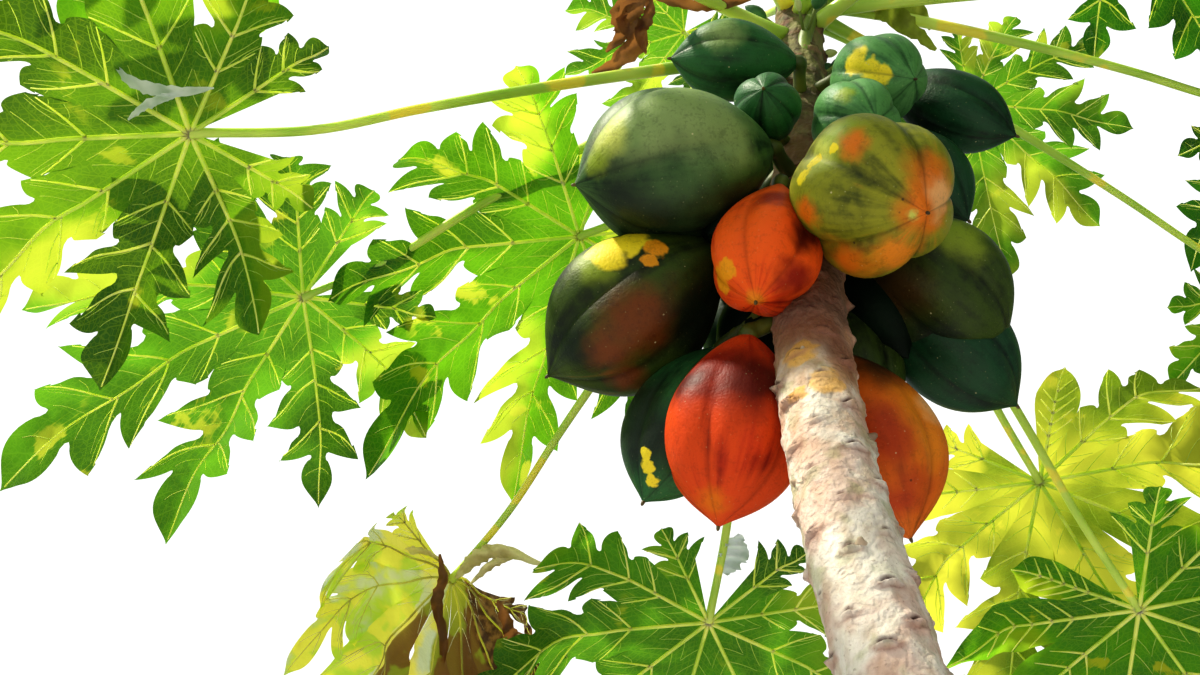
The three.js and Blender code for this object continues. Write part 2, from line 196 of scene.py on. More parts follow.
# The shape of a fruit: where along it the skin is fullest, also for one that droops by more than the steep
# degrees, how full its ends are, its ridges, furrows and lumps as shares of its radius, and its mesh. Then
# its stalk, which is slimmer on a fruit well under the full width.
FRUIT = {
    "fullest": 0.54,
    "steep": 70,
    "steep_fullest": 0.64,
    "fullness": 0.62,
    "ridge": 0.02,
    "furrow": 0.11,
    "lobed_furrow": 0.16,
    "lumps": 0.028,
    "full_width": 0.18,
    "sides": 80,
    "rings": 48,
    "stalk_radius": 0.008,
    "stalk_sunk": 0.12,
    "stalk_sides": 10,
    "stalk_rings": 14,
}
# Where each fruit hangs on the trunk, its stalk and how it droops and swings, its size, how ripe it is and
# its skin. The one with a lobed skin has the deepest furrows.
FRUIT_VALUES = ("foot", "azimuth", "stalk", "droop", "swing", "length", "width", "ripe", "skin")
FRUITS = [dict(zip(FRUIT_VALUES, row)) for row in (
    (2.690, 60, 0.036, 61, -5, 0.218, 0.143, 0.85, "turning"),
    (2.665, 170, 0.033, 61, -58, 0.213, 0.145, 1, "ripe"),
    (2.725, 146, 0.084, 58, 0, 0.205, 0.118, 0, "dark"),
    (2.865, 233, 0.024, 78, -40, 0.235, 0.118, 0.95, "amber"),
    (2.782, 188, 0.062, 23, -38, 0.240, 0.172, 0.35, "olive"),
    (2.822, 349, 0.028, 25, 43, 0.212, 0.154, 0.1, "olive"),
    (2.803, 29, 0.060, 26, 6, 0.218, 0.130, 0, "bluish"),
    (2.846, 276, 0.038, 59, 38, 0.218, 0.170, 0.45, "lobed"),
    (2.888, 238, 0.046, 22, -55, 0.242, 0.184, 0.05, "grey"),
    (2.960, 230, 0.033, 33, 27, 0.109, 0.078, 0, "dark"),
    (2.966, 295, 0.034, 55, -5, 0.142, 0.098, 0, "pale"),
    (3.085, 308, 0.039, 53, 5, 0.156, 0.107, 0, "pale"),
    (3.068, 263, 0.038, 0, -81, 0.160, 0.101, 0, "dark"),
    (3.045, 355, 0.065, 54, 28, 0.170, 0.102, 0, "bluish"),
    (3.115, 345, 0.080, 33, 22, 0.175, 0.098, 0, "bluish"),
)]
# The fruit on the far side, smaller and greener up the column.
FAR_COLUMN = {"count": 8, "lowest": 2.835, "climb": 0.046, "azimuth": 70, "spread": 76, "turn": 0.618}
FAR_FRUIT = {"droop": (62, -34), "length": (0.208, -0.088), "width": (0.130, -0.050)}
for i in range(FAR_COLUMN["count"]):
    share = i / (FAR_COLUMN["count"] - 1)
    FRUITS.append({
        "foot": FAR_COLUMN["lowest"] + FAR_COLUMN["climb"] * i,
        "azimuth": FAR_COLUMN["azimuth"] + FAR_COLUMN["spread"] * ((i * FAR_COLUMN["turn"]) % 1),
        "stalk": 0.044,
        "swing": 0,
        "ripe": max(0, 0.15 - share),
        "skin": ("olive", "bluish", "grey", "dark")[i % 4],
        **graded(FAR_FRUIT, share),
    })

# Patches on the skins, by fruit number, and on the bark: the pixel where the picture shows each, its size and
# its tint. Most are painted sunlight, painted shade or painted highlights; the rest are ripening colours.
PATCHES = {
    1: (((884, 356), 0.056, "dark"), ((884, 430), 0.040, "rust"), ((918, 405), 0.034, "amber"),
        ((930, 446), 0.028, "amber"), ((906, 500), 0.030, "rust"), ((938, 404), 0.020, "highlight_peach")),
    2: (((720, 366), 0.055, "red"), ((756, 376), 0.050, "shaded_maroon"), ((690, 380), 0.026, "shaded_maroon"),
        ((712, 505), 0.018, "orange")),
    3: (((634, 404), 0.060, "dark"), ((646, 440), 0.040, "dark"), ((644, 452), 0.009, "sun"),
        ((648, 466), 0.010, "sun"), ((652, 480), 0.009, "sun")),
    4: (((721, 280), 0.020, "sunlit_gold"), ((724, 268), 0.015, "sunlit_gold"), ((754, 299), 0.012, "amber"),
        ((775, 196), 0.026, "red"), ((806, 236), 0.024, "shaded_maroon"), ((796, 280), 0.024, "red")),
    5: (((592, 262), 0.028, "lime"), ((612, 246), 0.034, "sun"), ((634, 240), 0.026, "sun"),
        ((658, 248), 0.016, "sunlit_gold"), ((648, 260), 0.012, "sunlit_gold"), ((640, 318), 0.046, "russet"),
        ((606, 350), 0.030, "russet"), ((628, 380), 0.022, "russet"), ((568, 345), 0.034, "dark"),
        ((700, 315), 0.050, "dark")),
    6: (((898, 292), 0.042, "brown"), ((962, 232), 0.034, "lime"), ((930, 340), 0.034, "dark")),
    8: (((806, 214), 0.018, "orange"), ((850, 262), 0.030, "orange"), ((936, 176), 0.036, "orange"),
        ((930, 216), 0.036, "orange"), ((896, 258), 0.028, "amber"), ((832, 140), 0.030, "lime"),
        ((854, 142), 0.020, "orange"), ((822, 160), 0.022, "pale"), ((944, 196), 0.024, "highlight_peach"),
        ((802, 178), 0.013, "sun"), ((814, 160), 0.012, "sun"), ((830, 150), 0.009, "sun"),
        ((912, 216), 0.006, "pale")),
    9: (((630, 112), 0.060, "lit_sage"), ((690, 104), 0.060, "lit_sage"), ((735, 130), 0.040, "lit_sage"),
        ((640, 222), 0.080, "dark"), ((720, 220), 0.060, "dark"), ((604, 136), 0.026, "pale"),
        ((592, 160), 0.018, "lime")),
    11: (((845, 94), 0.012, "lime"),),
    12: (((856, 62), 0.022, "sun"), ((884, 76), 0.018, "sun"), ((870, 70), 0.018, "sun")),
    13: (((722, 32), 0.026, "lit_sage"),),
}
# On the bark: painted shadow at the top, painted sunlight on the upper trunk and on its pale lower part, and
# umber brown that is partly painted shade.
BARK_PATCHES = (
    ((800, 312), 0.055, "shadow"), ((838, 300), 0.055, "shadow"), ((842, 352), 0.022, "shadow"),
    ((796, 350), 0.024, "sunlit_honey"), ((828, 380), 0.022, "sunlit_honey"), ((796, 394), 0.014, "sunlit_honey"),
    ((842, 346), 0.034, "umber"), ((800, 326), 0.034, "umber"), ((850, 372), 0.016, "umber"),
    ((890, 560), 0.030, "sunlit_ivory"), ((848, 610), 0.024, "sunlit_ivory"),
)

# Clusters of buds in the leaf axils, and stubs of old stalks below the crown, both up the trunk in a spiral.
BUDS = {"seed": 5, "count": 9, "lowest": 3.16, "climb": 0.028, "turn": 137.5}
STUBS = {"seed": 23, "count": 15, "lowest": 2.2, "climb": 0.052, "sunk": 0.004}
# A young leaf's stalk that rises in front of the bud: places in pixels, each with its depth from the eye.
YOUNG_STALK = (((810, 74), 1.93), ((804, 46), 1.95), ((812, 18), 2.0), ((826, -8), 2.04), ((834, -40), 2.1))
# Small near-black fruits behind the large ones, partly fruit and partly painted shade in the gaps between
# them:
# height on the trunk, azimuth, droop, length and width, and how far each hangs from the bark.
INNER_FRUIT = ((2.815, 40, 50, 0.150, 0.085), (2.79, 130, 60, 0.150, 0.085), (2.93, 10, 40, 0.120, 0.075),
               (2.90, 165, 50, 0.140, 0.085), (2.78, 330, 72, 0.085, 0.060), (2.86, 310, 40, 0.110, 0.075),
               (2.84, 200, 50, 0.120, 0.080))
INNER_GAP = 0.012
# Scraps of dead leaf: a name, two tones, and for each scrap its route in pixels, its depth from the eye and
# its width.
SCRAPS = (
    ("dead_leaf_brown", ("9a6a38", "4a3020"), (
        (((662, -14), (640, 0), (630, 20), (636, 42), (618, 62), (592, 74)), 1.875, 0.030),
        (((636, -8), (618, 12), (622, 34), (606, 52)), 1.88, 0.021),
        (((652, -8), (648, 16), (640, 34), (646, 54)), 1.865, 0.016),
        (((650, -4), (690, 6), (726, 4), (762, -6)), 1.93, 0.016),
        (((440, 554), (443, 578), (437, 602), (444, 640), (440, 680)), 1.845, 0.014),
        (((498, 600), (508, 626), (512, 652), (520, 690)), 1.89, 0.018),
    )),
    ("dead_leaf_grey", ("f0f6f2", "c8d8d0"), (
        (((116, 66), (132, 82), (156, 90), (186, 92), (214, 88)), 1.53, 0.013),
        (((128, 120), (146, 106), (166, 98), (188, 92)), 1.53, 0.010),
        (((724, 574), (734, 552), (740, 534)), 1.875, 0.036),
    )),
    ("dead_leaf_olive", ("e8e0a0", "b09858"), (
        (((456, 578), (474, 560), (500, 550), (546, 566)), 1.88, 0.020),
        (((470, 584), (492, 564), (516, 554), (532, 562)), 1.90, 0.012),
        (((440, 558), (418, 550), (398, 556), (382, 574)), 1.88, 0.010),
    )),
    ("hanging_leaf_olive", ("9aa838", "6a6a28"), (
        (((866, -14), (880, 6), (902, 24), (936, 50)), 2.08, 0.034),
        (((876, -14), (896, 4), (918, 14), (930, 30)), 2.1, 0.026),
    )),
)
# The mesh of such a scrap: its rows, and the points across each.
RIBBON = {"rows": 26, "points": 7}

# The light: a sun with its width in degrees and the way to it, a sky that is fullest one way and fades with
# the turn away from it, and the floor.
SUN = {"strength": 4.5, "width": 2.5, "tint": (1.0, 0.93, 0.78), "toward": (-0.62, -0.4, 0.95)}
SKY = {
    "toward": (-0.45, -0.25, 0.85),
    "facing": (-0.7, 0.95),
    "strength": (0.08, 1.0),
    "tint": (0.93, 0.97, 1.0, 1.0),
    "backdrop": (1.0, 1.0, 1.0, 1.0),
}
FLOOR = {"size": 8, "tone": "b4b3af"}


def chance(a, b):
    """A repeatable random share from 0 to 1 for a pair of whole numbers."""
    x = math.sin(a * 12.9898 + b * 78.233) * 43758.5453
    return x - math.floor(x)


def heading(azimuth, rise):
    """Unit vector at an azimuth from +X and a rise above the horizon, both in degrees."""
    a = math.radians(azimuth)
    e = math.radians(rise)
    return np.array((math.cos(a) * math.cos(e), math.sin(a) * math.cos(e), math.sin(e)))


def unit(vector):
    return vector / np.linalg.norm(vector)


def sight(spot):
    """Unit vector from the eye through a pixel of the picture."""
    away = PICTURE[0] * LENS / FILM
    x, y = (spot[0] - PICTURE[0] / 2) / away, (PICTURE[1] / 2 - spot[1]) / away
    tilt = math.radians(TILT)
    return unit(np.array((x, y * math.cos(tilt) + math.sin(tilt), y * math.sin(tilt) - math.cos(tilt))))


def beyond(spot, depth):
    """The place that a pixel of the picture shows at a depth from the eye."""
    straight = sight((PICTURE[0] / 2, PICTURE[1] / 2))
    way = sight(spot)
    return EYE + way * depth / way.dot(straight)


def seen(spot, points):
    """The point of a shape that a pixel of the picture shows."""
    way = sight(spot)
    from_eye = points - EYE
    depth = from_eye @ way
    off = np.linalg.norm(from_eye - np.outer(depth, way), axis=1)
    return tuple(points[np.argmin(off + 0.15 * depth)])


def placed(patches, points):
    """Patches with the place on a shape in place of the pixel."""
    return [(seen(spot, points), size, tint) for spot, size, tint in patches]


def ramp(value, low, high):
    """0 below low, 1 above high, and smooth between them."""
    share = np.clip((value - low) / (high - low), 0, 1)
    return share * share * (3 - 2 * share)


def lean_at(z):
    turn = (TRUNK["lean_below"] + TRUNK["lean_above"]) / 2
    drift = (TRUNK["lean_above"] - TRUNK["lean_below"]) / 2
    past = z - TRUNK["bend_height"]
    return drift * past + turn * np.hypot(past, TRUNK["bend_length"])


def trunk_centre(z):
    return np.array((lean_at(z) - lean_at(0), 0, z))


def trunk_radius(z, azimuth=0.0):
    plain = TRUNK["radius_at_foot"] - TRUNK["radius_lost"] * z
    toes = 1 + TRUNK["toe_depth"] * np.cos(TRUNK["toes"] * azimuth)
    foot = TRUNK["flare"] * toes * np.exp(-z / TRUNK["flare_height"])
    bud = np.maximum(0, (z - (TRUNK["height"] - TRUNK["bud_height"])) / TRUNK["bud_height"])
    return (plain + foot) + (TRUNK["bud_radius"] - plain - foot) * bud * bud


def on_trunk(level, azimuth, sunk):
    """A place on the trunk at a level and an azimuth, sunk into its bark."""
    return trunk_centre(level) + heading(azimuth, 0) * (trunk_radius(level) - sunk)


class Heap:
    """Points and faces of one kind, gathered from many shapes and made into one piece."""

    def __init__(self):
        self.points = []
        self.faces = []
        self.marks = {}
        self.count = 0

    def add(self, points, *blocks, **marks):
        """Take in a shape in blocks of faces, with any values that a finish reads at its points."""
        self.points.append(np.asarray(points, float))
        self.faces += [np.asarray(block, int) + self.count for block in blocks]
        self.count += len(points)
        for name, values in marks.items():
            self.marks.setdefault(name, []).append(np.asarray(values, float))

    def piece(self, name, finish, slot, nodes):
        mesh = bpy.data.meshes.new(name)
        points = np.concatenate(self.points)
        rows = [row for block in self.faces for row in block.tolist()]
        mesh.from_pydata(points.tolist(), [], rows)
        mesh.polygons.foreach_set("use_smooth", [True] * len(mesh.polygons))
        for mark, values in self.marks.items():
            flat_values = np.concatenate(values)
            kind, field = ("FLOAT", "value") if flat_values.ndim == 1 else ("FLOAT_VECTOR", "vector")
            mesh.attributes.new(mark, kind, "POINT").data.foreach_set(field, flat_values.ravel())
        mesh.materials.append(finish)
        thing = bpy.data.objects.new(name, mesh)
        bpy.context.collection.objects.link(thing)
        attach(thing, "root")
        if nodes:
            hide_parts(*nodes)


def ring_turns(sides):
    """The turn of each point round a ring, in radians."""
    return np.arange(sides) / sides * 2 * math.pi


def grid_faces(rings, sides):
    """Faces of a skin of rings that each close on themselves."""
    ring, side = np.meshgrid(np.arange(rings - 1), np.arange(sides), indexing="ij")
    a = ring * sides + side
    b = ring * sides + (side + 1) % sides
    return np.stack((a, b, b + sides, a + sides), axis=-1).reshape(-1, 4)


def fan_faces(rings, sides, foot, tip):
    """Faces that close a skin of rings, from its first and its last ring to a point beyond each."""
    side = np.arange(sides)
    after = (side + 1) % sides
    end = (rings - 1) * sides
    first = np.stack((np.full(sides, foot), after, side), axis=-1)
    last = np.stack((np.full(sides, tip), end + side, end + after), axis=-1)
    return np.vstack((first, last))


def smooth_path(points, count):
    """A curve through every point, as count places along it."""
    points = np.asarray(points, float)
    ends = np.vstack((2 * points[0] - points[1], points, 2 * points[-1] - points[-2]))
    places = []
    for t in np.linspace(0, len(points) - 1, count):
        i = min(int(t), len(points) - 2)
        u = t - i
        p0, p1, p2, p3 = ends[i:i + 4]
        bend = 2 * p0 - 5 * p1 + 4 * p2 - p3
        curl = 3 * p1 - p0 - 3 * p2 + p3
        places.append(0.5 * (2 * p1 + (p2 - p0) * u + bend * u * u + curl * u ** 3))
    return np.array(places)


def tube(heap, path, radii, sides):
    """Round tube down a path, with a rounded cap at each end."""
    path = np.asarray(path, float)
    radii = np.broadcast_to(np.asarray(radii, float), (len(path),))
    along = np.gradient(path, axis=0)
    along /= np.linalg.norm(along, axis=1)[:, None]
    across = np.cross(along[0], UP if abs(along[0][2]) < 0.95 else np.array((1.0, 0, 0)))
    turn = ring_turns(sides)
    rings = []
    for centre, forward, radius in zip(path, along, radii):
        across = unit(across - forward * across.dot(forward))
        over = np.cross(across, forward)
        rings.append(centre + radius * (np.outer(np.cos(turn), over) + np.outer(np.sin(turn), across)))
    foot = path[0] - along[0] * radii[0] * 0.6
    tip = path[-1] + along[-1] * radii[-1] * 0.6
    points = np.vstack(rings + [[foot], [tip]])
    ends = fan_faces(len(path), sides, len(points) - 2, len(points) - 1)
    heap.add(points, grid_faces(len(path), sides)[:, ::-1], ends[:, ::-1])


# Finishes

class Term:
    """A number or colour somewhere on a surface, as a node socket that Python's operators can work on."""

    def __init__(self, finish, socket):
        self.finish = finish
        self.socket = socket

    def work(self, operation, *terms):
        return self.finish.add("ShaderNodeMath", {"operation": operation}, dict(enumerate(terms)))

    def __add__(self, other):
        return self.work("ADD", self, other)

    def __sub__(self, other):
        return self.work("SUBTRACT", self, other)

    def __mul__(self, other):
        return self.work("MULTIPLY", self, other)

    def __rsub__(self, other):
        return self.work("SUBTRACT", other, self)

    __radd__ = __add__
    __rmul__ = __mul__

    def larger(self, other):
        return self.work("MAXIMUM", self, other)

    def between(self, low, high):
        """0 where this is below low, 1 above high, and smooth between them."""
        sockets = {"Value": self, "From Min": low, "From Max": high}
        return self.finish.add("ShaderNodeMapRange", {"interpolation_type": "SMOOTHSTEP"}, sockets)


class Finish:
    """A material, or the light of a room, put together from expressions."""

    def __init__(self, name, room=False):
        self.kind = "World" if room else "Material"
        self.holder = (bpy.data.worlds if room else bpy.data.materials).new(name)
        self.holder.use_nodes = True
        self.tree = self.holder.node_tree
        self.tree.nodes.clear()

    def add(self, kind, settings=None, sockets=None, output=0):
        node = self.tree.nodes.new(kind)
        for name, value in (settings or {}).items():
            setattr(node, name, value)
        for name, value in (sockets or {}).items():
            if isinstance(value, Term):
                self.tree.links.new(value.socket, node.inputs[name])
            else:
                node.inputs[name].default_value = value
        return Term(self, node.outputs[output])

    def place(self):
        return self.add("ShaderNodeTexCoord", output="Object")

    def clouds(self, size, detail=2.0, at=None):
        sockets = {"Vector": at or self.place(), "Scale": 1 / size, "Detail": detail}
        return self.add("ShaderNodeTexNoise", None, sockets)

    def cells(self, size, feature="F1", at=None):
        sockets = {"Vector": at or self.place(), "Scale": 1 / size}
        return self.add("ShaderNodeTexVoronoi", {"feature": feature}, sockets, "Distance")

    def stretched(self, at, scale):
        return self.add("ShaderNodeMapping", None, {"Vector": at, "Scale": scale})

    def axis(self, at, name):
        """One of the three numbers of a place."""
        return self.add("ShaderNodeSeparateXYZ", None, {0: at}, name)

    def mark(self, name):
        """A share that the mesh carries at its points."""
        return self.add("ShaderNodeAttribute", {"attribute_name": name}, output="Fac")

    def plan(self, name):
        """A flat place that the mesh carries at its points."""
        return self.add("ShaderNodeAttribute", {"attribute_name": name}, output="Vector")

    def near(self, spot, size, sharp):
        """1 about a spot, fading out at a ragged edge that is soft, or sharp as the edge of a shadow is."""
        ends = {0: self.place(), 1: spot}
        away = self.add("ShaderNodeVectorMath", {"operation": "DISTANCE"}, ends, "Value")
        ragged = self.clouds(size * 0.8, 1) * 1.1 + self.clouds(size * 0.2, 2) * 0.2 - 0.65
        edge = away + ragged * size
        return 1 - edge.between(size * (0.62 if sharp else 0.2), size * (0.9 if sharp else 1.4))

    def blend(self, share, one, other):
        """One colour where share is 0, the other where it is 1."""
        return self.add("ShaderNodeMix", {"data_type": "RGBA"}, {0: share, 6: one, 7: other}, 2)

    def layered(self, colour, *layers):
        """A colour with other tones over it, each by its share."""
        for share, code in layers:
            colour = self.blend(share, colour, paint(code))
        return colour

    def patched(self, colour, spots, share):
        """A colour with patches over it."""
        layers = [(self.near(spot, size, tint in SUNLIT) * share, TINTS[tint]) for spot, size, tint in spots]
        return self.layered(colour, *layers)

    def surface(self, colour, roughness, height=None, relief=0.001, **constant):
        sockets = {"Base Color": colour, "Roughness": roughness}
        sockets.update({name.replace("_", " "): value for name, value in constant.items()})
        if height is not None:
            sockets["Normal"] = self.add("ShaderNodeBump", None, {"Height": height, "Distance": relief})
        return self.add("ShaderNodeBsdfPrincipled", None, sockets)

    def mixed(self, share, one, other):
        """One shader where share is 0, the other where it is 1."""
        return self.add("ShaderNodeMixShader", None, {0: share, 1: one, 2: other})

    def through(self, code):
        """Light of one colour that comes through from behind."""
        return self.add("ShaderNodeBsdfTranslucent", None, {"Color": paint(code)})

    def done(self, shader):
        output = self.tree.nodes.new(f"ShaderNodeOutput{self.kind}")
        self.tree.links.new(shader.socket, output.inputs["Surface"])
        return self.holder


def paint(code):
    """A colour written as red, green and blue in hexadecimal, in the linear shares that a shader takes."""
    shares = [int(code[i:i + 2], 16) / 255 for i in (0, 2, 4)]
    linear = [s / 12.92 if s <= 0.04045 else ((s + 0.055) / 1.055) ** 2.4 for s in shares]
    return (*linear, 1.0)


def dimmed(colour, share):
    """A colour with a share of its light."""
    return (*(share * part for part in colour[:3]), 1.0)


def lines(position, gap, low):
    """1 along lines a gap apart, 0 between them."""
    share = position.work("PINGPONG", position, gap / 2)
    return share.between(low * gap / 2, gap / 2)


# The bark's tones, and where it turns tan, then brown, then young: from which level to which, and how
# raggedly. The brown among the fruit is partly the older bark's colour and partly painted shade from the
# fruit.
BARK = {
    "shaded": "c8b49e",
    "lit": "ece2d4",
    "pink": "d8ab98",
    "mossy": "a8ab7c",
    "tan": "bc8450",
    "brown": "6e4026",
    "young_shaded": "4c4426",
    "young_lit": "7d7a4a",
    "fold": "a87e66",
    "rim": "9a6a58",
    "fleck": "8a6a5a",
    "pit": "4a1e14",
}
BARK_TURNS = {"tan": (2.44, 2.58, 0.3), "brown": (2.58, 2.7, 0.2), "young": (2.92, 3.06, 0.2)}


def bark_finish(spots):
    """Pale bark with pink and green films, brown in its pits and on its rims, and darker up the trunk, partly
    as painted shade under the fruit, with patches of painted shadow and painted sunlight.
    """
    bark = Finish("papaya_bark")
    grain = bark.clouds(0.02, 4, bark.stretched(bark.place(), (1, 1, 0.55)))
    fine = bark.clouds(0.004, 3)
    moss = bark.clouds(0.05, 3)
    film = bark.clouds(0.035, 2)
    folds = lines(bark.clouds(0.026, 2.0), 0.2, 0.05)
    level = bark.axis(bark.place(), "Z")
    above = {
        name: (level + (moss - 0.5) * ragged).between(low, high)
        for name, (low, high, ragged) in BARK_TURNS.items()
    }
    # Tan, then brown among the fruit; the brown is partly painted shade.
    colour = bark.layered(
        bark.blend(grain.between(0.32, 0.62), paint(BARK["shaded"]), paint(BARK["lit"])),
        (moss.between(0.45, 0.6) * 0.5, BARK["pink"]),
        (film.between(0.54, 0.66) * 0.5, BARK["mossy"]),
        (above["tan"] * 0.68, BARK["tan"]),
        (above["brown"] * 0.6, BARK["brown"]),
    )
    young = bark.blend(grain.between(0.4, 0.6), paint(BARK["young_shaded"]), paint(BARK["young_lit"]))
    colour = bark.blend(above["young"], colour, young)
    # Over it: patches of painted shadow and painted sunlight, then folds, rims, flecks and pits.
    colour = bark.layered(
        bark.patched(colour, spots, 0.62),
        (folds * moss.between(0.4, 0.6) * 0.2, BARK["fold"]),
        (bark.mark("rim") * 0.6, BARK["rim"]),
        (fine.between(0.62, 0.72) * 0.4, BARK["fleck"]),
        (bark.mark("scar"), BARK["pit"]),
    )
    height = grain * 0.5 + fine * 0.5 - folds * 0.24
    return bark.done(bark.surface(colour, 0.82, height, 0.0035))


# The skins: a tone in shade, the same in light, and the one that ripening starts with.
SKINS = {
    "dark": ("0a2c12", "2c6632", "5a6a24"),
    "bluish": ("082414", "1a4a2a", "5a7a3a"),
    "pale": ("1e5228", "5a9250", "9aa84a"),
    "grey": ("0e2c14", "52783e", "6f6a2c"),
    "olive": ("141c08", "3c5016", "a0561a"),
    "lobed": ("3e460e", "949426", "e8701c"),
    "turning": ("3a2a0e", "c0641e", "e0701e"),
    "amber": ("a02408", "ee4e1c", "f4641e"),
    "ripe": ("7c140a", "c8361a", "e0501c"),
}
# The tones of the patches, and those that have the sharp edge of sunlight. The yellow, gold, honey and ivory
# tones are painted sunlight; dark, red, maroon, umber and shadow are painted shade; pale, peach and sage are
# painted highlights, and lime is partly the skin's own yellow-green and partly painted light.
TINTS = {
    "sun": "fbe02a", "sunlit_gold": "f0a01c", "sunlit_honey": "f4b42c", "sunlit_ivory": "fbf2e2", "pale": "c8cc60",
    "lime": "8ea02a", "lit_sage": "8ea264", "highlight_peach": "f4b878", "amber": "e88a1e", "orange": "e07414",
    "rust": "b4401a", "red": "8e1c0c", "shaded_maroon": "4a0c06", "russet": "74380e", "umber": "7a4020",
    "brown": "4a3412", "shadow": "3e2012", "dark": "0e1e0c",
}
SUNLIT = ("sun", "sunlit_gold", "sunlit_honey")


def skin_finish(number, fruit, spots):
    """One fruit's skin: mottled green that turns orange from within, streaked, lighter on its ridges as
    painted light and dark down its furrows as painted shade, with patches of mostly painted sunlight, shade
    and highlight.
    """
    skin = Finish(f"papaya_skin_{number}")
    ripe = fruit["ripe"]
    shaded, lit, turned = (paint(code) for code in SKINS[fruit["skin"]])
    dusky = dimmed(shaded, 0.25)
    broad = skin.clouds(0.07, 3)
    mottle = skin.clouds(0.011, 5)
    grit = skin.clouds(0.0028, 3)
    streak = skin.clouds(1, 4, skin.stretched(skin.plan("strip"), (5, 5, 1.6)))
    # The swell of the ridges takes the tone toward the lit one: painted light on the ridges.
    light = broad * 0.5 + streak * 0.5 + skin.mark("swell") * 0.12 - 0.05
    colour = skin.blend(light.between(0.36, 0.64), shaded, lit)
    colour = skin.blend(mottle.between(0.42, 0.7) * 0.5, colour, lit)
    flush = skin.clouds(0.09, 2) * 0.6 + streak * 0.4
    colour = skin.blend(flush.between(0.8 - 0.5 * ripe, 0.98 - 0.5 * ripe) * 0.9, colour, turned)
    # Patches of painted sunlight, painted shade and painted highlights, and some of ripening colour.
    colour = skin.patched(colour, spots, 0.92)
    hollows = (mottle * 0.5 + grit * 0.5).between(0.5, 0.36)
    colour = skin.blend(hollows * (0.25 - 0.1 * ripe), colour, dusky)
    # Painted shade down the furrows, in the darkest tone.
    colour = skin.blend(skin.mark("furrow_shade") * (0.48 - 0.2 * ripe), colour, dusky)
    pores = 1 - skin.cells(0.0055).between(0.08, 0.2)
    specks = 1 - skin.cells(0.016).between(0.04, 0.08)
    scabs = 1 - skin.cells(0.03).between(0.03, 0.07)
    colour = skin.layered(
        colour,
        (pores * grit.between(0.5, 0.6) * 0.2, "c8c890"),
        (specks * mottle.between(0.52, 0.6) * 0.7, "d8d0a0"),
        (scabs * mottle.between(0.42, 0.5) * 0.8, "3a2a18"),
    )
    height = mottle * 0.4 + grit * 0.25 + streak * 0.5
    roughness = 0.36 + mottle * 0.2 + grit * 0.1
    shine = 0.35 - 0.2 * ripe
    return skin.done(skin.surface(colour, roughness, height, 0.0016, Specular_IOR_Level=shine))


# The blade seen against the light, the blade's own green, how much light it lets through, and how warm some
# lobes glow.
LEAF_TINTS = {
    "bright": ("7cc41c", "2c7c18", 0.66, 0.45),
    "fresh": ("6cac24", "2e6c18", 0.62, 0.3),
    "deep": ("48941a", "1e5c12", 0.56, 0.15),
    "sunlit": ("a4c82c", "80a828", 0.76, 0.92),
    "mellow": ("7caa1c", "2e7016", 0.54, 0.2),
}
# How far red, green and blue light run inside a juicy surface, as shares of its depth.
JUICE = (0.9, 1.0, 0.4)


def juice(share, depth):
    """Light that runs about inside a share of a surface, to a depth in metres."""
    return {"Subsurface_Weight": share, "Subsurface_Scale": depth, "Subsurface_Radius": JUICE}


def blade_finish(tint):
    """A thin blade that glows where light comes through, darker on some lobes, with ladders of fine veins."""
    blade = Finish(f"papaya_blade_{tint}")
    glow, green, clear, warm = LEAF_TINTS[tint]
    patchy = blade.clouds(0.09, 2)
    tone = blade.mark("tone")
    bent = blade.clouds(0.03, 1) - 0.5
    plan = blade.plan("plan")
    ladder = lines(blade.axis(plan, "Y") + bent * 0.012, LADDER_GAP, 0.72)
    rungs = lines(blade.axis(plan, "X") + bent * 0.009, VEIN_GAP, 0.84)
    net = (1 - blade.cells(0.007, "DISTANCE_TO_EDGE").between(0.03, 0.1)) * 0.5
    faded = blade.clouds(0.05, 2).between(0.3, 0.6)
    veins = (ladder * faded).larger(rungs * 0.8).larger(net)
    shade = (patchy * 0.6 + tone * 0.55).between(0.3, 0.85)
    sunny = (blade.clouds(0.07, 4) + ladder * 0.03).between(0.63, 0.68)
    sunny = sunny * patchy.between(0.42, 0.55) * min(1, warm * 2)
    colour = blade.layered(
        blade.blend(shade, dimmed(paint(green), 0.55), paint(green)),
        (veins * 0.34, "a9c040"),
        (sunny * 0.7, "d8c828"),
    )
    height = veins * 0.6 + blade.clouds(0.01, 2) * 0.4
    shell = blade.surface(colour, 0.48, height, 0.0014, Specular_IOR_Level=0.25)
    lit = blade.mixed(clear * (0.3 + 0.8 * shade) + veins * 0.08, shell, blade.through(glow))
    warmer = (tone * 0.7 + patchy * 0.6).between(0.95 - 0.65 * warm, 1.3 - 0.65 * warm)
    warmer = warmer * (0.3 + 0.5 * warm)
    warmer = sunny * 0.5 + warmer * (1 - sunny * 0.5)
    return blade.done(blade.mixed(warmer, lit, blade.through("d2cc44")))


